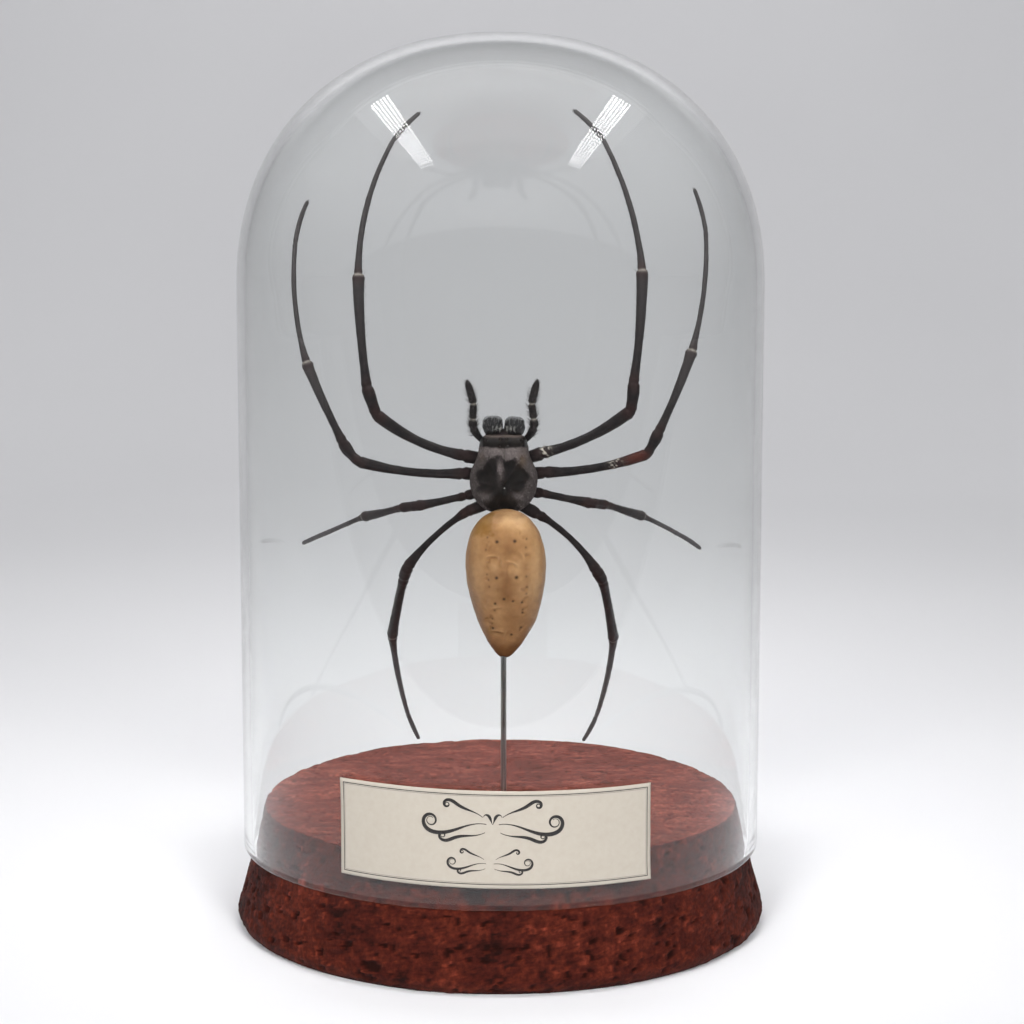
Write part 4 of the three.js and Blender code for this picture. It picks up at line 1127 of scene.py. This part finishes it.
# %% Eyes
eye_finish = mottled_finish("eye_lens", 0.08, 2500, 2, (0.003, 0.002, 0.002), (0.012, 0.007, 0.005),
                            Coat_Weight=0.6)
LENS_RISE = 0.06
up = np.linspace(0, np.pi, 16)[1:-1, None]
ball = turned(np.concatenate([np.sin(up), np.cos(up)], 1), 24)
for eye_name, (eye_x, eye_z, eye_radius) in EYES.items():
    for side_label, side in SIDES.items():
        gap = (carapace_rings[..., 0] - SPIDER_X - side * eye_x) ** 2 + (carapace_rings[..., 2] - eye_z) ** 2
        nearest = (gap + 100 * (on_back < 0.3)).argmin()
        back_y = carapace_rings[..., 1].ravel()[nearest]
        centre = np.array([SPIDER_X + side * eye_x, back_y + LENS_RISE, eye_z])
        skin(f"lens_{eye_name}_{side_label}", ball * eye_radius + centre, eye_finish, "eye",
             f"eye_{eye_name}_{side_label}")

# %% [markdown]
# ## Jaws
#
# The two chelicerae are stout, shiny black and hang from under the front of the head towards the
# underside, with a fang folded at the end of each. Rows of pale hairs run over their tops. A dark
# membrane joins them to the front edge of the head shield, and fills the gap between the two.

# %% Chelicerae
JAW_ROWS, JAW_COLUMNS = 70, 96
LOOSE_HAIRS, ROW_HAIRS = 90, 400
JAW_LIFTS = {"left": 0.14, "right": -0.02}
jaw_finish = mottled_finish("chelicera_shell", 0.22, 1200, 4, (0.006, 0.006, 0.0065), (0.022, 0.021, 0.022),
                            Coat_Weight=0.3)
ridged(jaw_finish, noise(jaw_finish, 3000, 5, 0.6), 0.4, 0.0001)


def tipped(grid):
    """Turns a pod that was built upright, so that its length runs back along +Y."""
    return np.stack([grid[..., 0], grid[..., 2], -grid[..., 1]], -1)


pods, jaw_normals = [], []
for side_label, side in SIDES.items():
    base = pod_rings(CHELICERA, JAW_ROWS, JAW_COLUMNS, (0, 0, 0))
    out = ring_normals(base)
    ribs = 0.07 * np.sin(np.arctan2(base[..., 1], base[..., 0]) * 9) * ramp(-base[..., 2], 0, 2)
    lumps = 0.09 * layered_noise(base + 40 * side, 1.7, 3, 90)
    jaw_x, jaw_y, jaw_z = CHELICERA_PLACE
    place = [SPIDER_X + side * jaw_x, jaw_y, jaw_z + JAW_LIFTS[side_label]]
    placed = tipped(base + out * (ribs + lumps)[..., None]) + place
    skin(f"chelicera_skin_{side_label}", placed, jaw_finish, "chelicera_shell", f"chelicera_{side_label}")
    pods.append(placed.reshape(-1, 3))
    jaw_normals.append(tipped(out).reshape(-1, 3))
jaw_points, jaw_out = np.concatenate(pods), np.concatenate(jaw_normals)
x, y, z = jaw_points.T
off_row = np.abs(np.abs(x - SPIDER_X)[:, None] - [0.75, 1.4, 2.05]).min(1)
in_row = (off_row < 0.13) & (y < -0.6) & (np.abs(z - 94.7) < 0.5)
chosen = np.concatenate([rng.choice(np.flatnonzero((y < 1.5) & (z > 94.6)), LOOSE_HAIRS),
                         rng.choice(np.flatnonzero(in_row), ROW_HAIRS)])
ways = jaw_out[chosen] * 0.35 + np.array([0, -0.2, 1.0]) + rng.normal(0, 0.16, (len(chosen), 3))
tuft_finish = mottled_finish("pale_tufts", 0.6, 2200, 2, (0.08, 0.075, 0.07), (0.42, 0.41, 0.39))
jaw_number, spot = np.divmod(chosen, JAW_ROWS * JAW_COLUMNS)
jaw_patches = np.stack([jaw_number * 0.5 + spot % JAW_COLUMNS / 200, spot // JAW_COLUMNS / 72], -1)
bristle_mesh("chelicera_hairs", jaw_points[chosen] - jaw_out[chosen] * 0.02, ways,
             rng.uniform(0.5, 1.3, len(chosen)), jaw_out[chosen] * 0.1,
             rng.uniform(0.014, 0.026, len(chosen)), jaw_patches, tuft_finish, "chelicera_shell")
rings = pod_rings(MEMBRANE, 30, 60)
rings = rings + ring_normals(rings) * 0.05 * layered_noise(rings, 0.8, 3, 97)[..., None]
skin("front_membrane", rings, limb_finish, "limb_shell", pale=0, ruddy=0.05, grey=0)

# %% Fangs
fang_finish = mottled_finish("fang", 0.15, 900, 3, (0.01, 0.005, 0.004), (0.035, 0.012, 0.008),
                             Coat_Weight=0.5)
s = np.linspace(0, 1, 40)
curl = np.radians(FANG["curl"] * s)
for side_label, side in SIDES.items():
    step = np.stack([-side * 0.35 * np.sin(curl), np.cos(curl), -np.sin(curl)], -1)
    step /= np.linalg.norm(step, axis=1)[:, None]
    jaw_x, jaw_y, jaw_z = CHELICERA_PLACE
    root = [SPIDER_X + side * jaw_x, jaw_y + 3.5, jaw_z - 0.2]
    middles = root + np.cumsum(step, 0) * FANG["length"] / len(s)
    fang_rings = tube(middles, FANG["radius"] * (1.15 - s) ** 0.8, (1, 0, 0))[0]
    skin(f"fang_skin_{side_label}", fang_rings, fang_finish, "chelicera_shell", f"fang_{side_label}")

# %% [markdown]
# ## The underside
#
# Between the hips lies the sternum, a flat heart-shaped plate, with the mouth plates before it. A
# thin stalk, the pedicel, joins the chest to the abdomen, and the spinnerets sit near its tip.

# %% Sternum and mouth plates
rings = pod_rings(STERNUM, 60, 90)
x, y, z = np.moveaxis(rings, -1, 0)
x = x - SPIDER_X
bosses = sum(mound(np.abs(x), z, (2.1, boss_z), (0.5, 0.5)) for boss_z in (88.6, 86.2, 83.9))
relief = (0.22 * bosses + 0.15 * mound(x, z, (0, 89), (0.8, 0.6))) * (y > 3.2)
relief += 0.04 * layered_noise(rings, 1.2, 3, 95)
patch = 0.9 * mound(x, z, (0, 85.6), (1.3, 3.2)) * (y > 3.2)
skin("sternum_plate", rings + ring_normals(rings) * relief[..., None], limb_finish, "limb_shell", "sternum",
     pale=0.35 * patch, ruddy=0.3 * patch, grey=0)
for plate, shape, offset in (("endite_left", ENDITE, (SPIDER_X - 1.5, 0, 0)),
                             ("endite_right", ENDITE, (SPIDER_X + 1.5, 0, 0)),
                             ("labium", LABIUM, (SPIDER_X, 0.15, 0))):
    rings = pod_rings(shape, 36, 60, offset)
    rim_pale = 0.5 * ramp(rings[..., 2], 92.6, 0.8) * (rings[..., 1] > 3.6)
    skin(f"mouth_{plate}", rings, limb_finish, "limb_shell", *(["endites"] if plate == "labium" else []),
         pale=rim_pale, ruddy=0.4, grey=0)

# %% Pedicel and spinnerets
stalk_z = np.linspace(PEDICEL["low_z"] - 0.3, PEDICEL["high_z"] + 0.3, 30)
stalk_r = PEDICEL["radius"] * (0.86 + 0.1 * np.cos((stalk_z - PEDICEL["low_z"]) * 5.5))
stalk = turned(np.stack([stalk_r, stalk_z], -1), 24, (SPIDER_X, PEDICEL["y"]))
skin("pedicel_stalk", stalk, limb_finish, "limb_shell", "pedicel", pale=0.12, ruddy=0.5, grey=0)


def cone(across, up, radius, length):
    """A blunt cone with one joint, leaning towards the tip of the abdomen."""
    s = np.linspace(0, 1, 20)
    size = radius * (1 - 0.55 * s**1.5) * (1 - 0.12 * bell(s, 0.45, 0.05))
    size = size * np.sqrt(np.clip(1 - s**8, 0.02, 1))
    spread = (1 + 0.12 * s)[:, None] * [across, up]
    side, tall = np.moveaxis(spread[:, None] + size[:, None, None] * circle(20), -1, 0)
    height = (s * length)[:, None]
    lean = np.radians(SPINNERETS["lean"])
    rings = np.stack([SPIDER_X + side, SPINNERETS["y"] - 0.9 + height * np.cos(lean) + tall * np.sin(lean),
                      SPINNERETS["z"] - height * np.sin(lean) + tall * np.cos(lean)], -1)
    return with_poles(rings), ring_faces(20, 20)


cones = [cone(0, 0, SPINNERETS["button"], SPINNERETS["length"] * 0.9 * 0.35)]
for k in range(6):
    turn = k * np.pi / 3 + 0.5
    radius = SPINNERETS["radius"] * (1.0 if k % 3 else 0.8)
    cones.append(cone(0.62 * np.cos(turn), 0.62 * np.sin(turn), radius, SPINNERETS["length"]))
whole = np.ones(sum(len(points) for points, _ in cones))
spinnerets = put_blocks("spinneret_cones", cones, limb_finish,
                        {"pale": 0.05 * whole, "ruddy": 0.7 * whole, "grey": 0 * whole})
dress(spinnerets, "limb_shell", "spinnerets")

# %% [markdown]
# ## The stage and the light
#
# A pale floor runs back and curves up into a backdrop, so that no line shows behind the glass. In
# front it ends soon, because the low part of the glass mirrors it as a veil. One lamp lights the
# backdrop, one hangs above and two stand in front. A wide lamp overhead and two narrow panels of
# small diodes, which run from front to back, also show in the glass: the panels leave the two
# slanting glints on the crown. The room around is dim, so that the glass doesn't mirror it.

# %% Stage
FLOOR_FRONT, FLOOR_BACK, SWEEP_RADIUS, SWEEP_TOP, HALF_WIDTH = -260, 700, 500, 2200, 2200
stage_finish = mottled_finish("pale_stage", 0.9, 3, 2, (0.72, 0.72, 0.74), (0.75, 0.75, 0.77))
floor_y = np.linspace(FLOOR_FRONT, FLOOR_BACK, 12)
bend = np.linspace(0, np.pi / 2, 25)[1:]
sweep_y = np.concatenate([floor_y, FLOOR_BACK + SWEEP_RADIUS * np.sin(bend), [FLOOR_BACK + SWEEP_RADIUS]])
sweep_z = np.concatenate([0 * floor_y, SWEEP_RADIUS - SWEEP_RADIUS * np.cos(bend), [SWEEP_TOP]])
across = np.linspace(-HALF_WIDTH, HALF_WIDTH, 3) + 0 * sweep_y[:, None]
sweep = np.stack([across, sweep_y[:, None] + 0 * across, sweep_z[:, None] + 0 * across], -1)
stage_faces = sheet_faces(*across.shape)[:, ::-1]
put_mesh("stage_sweep", sweep.reshape(-1, 3), [stage_faces], stage_finish)

# %% Lights
world = bpy.data.worlds.new("dim_room")
world.use_nodes = True
air = world.node_tree.nodes["Background"].inputs
air["Color"].default_value = (0.95, 0.96, 1.0, 1)
air["Strength"].default_value = 0.06
bpy.context.scene.world = world


def lamp(name, place, target, size, power, spread=180, seen_in_glass=False):
    """A rectangular lamp at place (metres) facing target. Its light fans out by spread degrees."""
    data = bpy.data.lights.new(name, "AREA")
    data.shape = "RECTANGLE"
    data.size, data.size_y = size
    data.energy = power
    data.spread = np.radians(spread)
    light = bpy.data.objects.new(name, data)
    bpy.context.scene.collection.objects.link(light)
    light.location = place
    aim = np.array(target) - np.array(place)
    pan = np.arctan2(aim[1], aim[0]) - np.pi / 2
    dip = np.arctan2(aim[2], np.hypot(aim[0], aim[1])) + np.pi / 2
    light.rotation_euler = (dip, 0, pan)
    light.visible_glossy = light.visible_transmission = seen_in_glass
    print(name, power, "W")
    return data


def dotted(light, rows, columns, strength, radius=0.27, between=0.02):
    """Shines from round dots in rows and columns, and hardly between them: a panel of diodes."""
    light.use_nodes = True
    place = add_node(light, "NewGeometry").outputs["Parametric"]
    cells = add_node(light, "VectorMath", {0: place, 1: (rows, columns, 0)}, operation="MULTIPLY").outputs[0]
    part = add_node(light, "VectorMath", {0: cells}, operation="FRACTION").outputs[0]
    off = add_node(light, "VectorMath", {0: part, 1: (0.5, 0.5, 0)}, operation="DISTANCE").outputs["Value"]
    near = reckon(light, "LESS_THAN", off, radius)
    feed(light, reckon(light, "MULTIPLY_ADD", near, strength, between), "Strength", "Emission")


for side_label, side in SIDES.items():
    panel = lamp(f"strip_{side_label}", (side * 0.3, -0.075, 0.61), (side * 0.3, -0.0751, 0),
                 (0.07, 0.52), 0.6, 180, True)
    dotted(panel, 6, 26, 4.0)
lamp("lamp_backdrop", (0, 0.8, 0.85), (0, 1.15, 0.2), (1.6, 0.5), 5.2)
lamp("lamp_ceiling", (0, 0.1, 1.6), (0, 0.1001, 0), (2.4, 1.6), 4, 180, True)
lamp("lamp_above", (0, 0.05, 0.75), (0, 0, 0), (0.35, 0.35), 0.48, 90)
lamp("lamp_front_left", (-0.35, -0.75, 0.5), (0, 0, 0.09), (0.3, 0.3), 0.34, 30)
lamp("lamp_front_right", (0.35, -0.75, 0.5), (0, 0, 0.09), (0.3, 0.3), 0.34, 30)
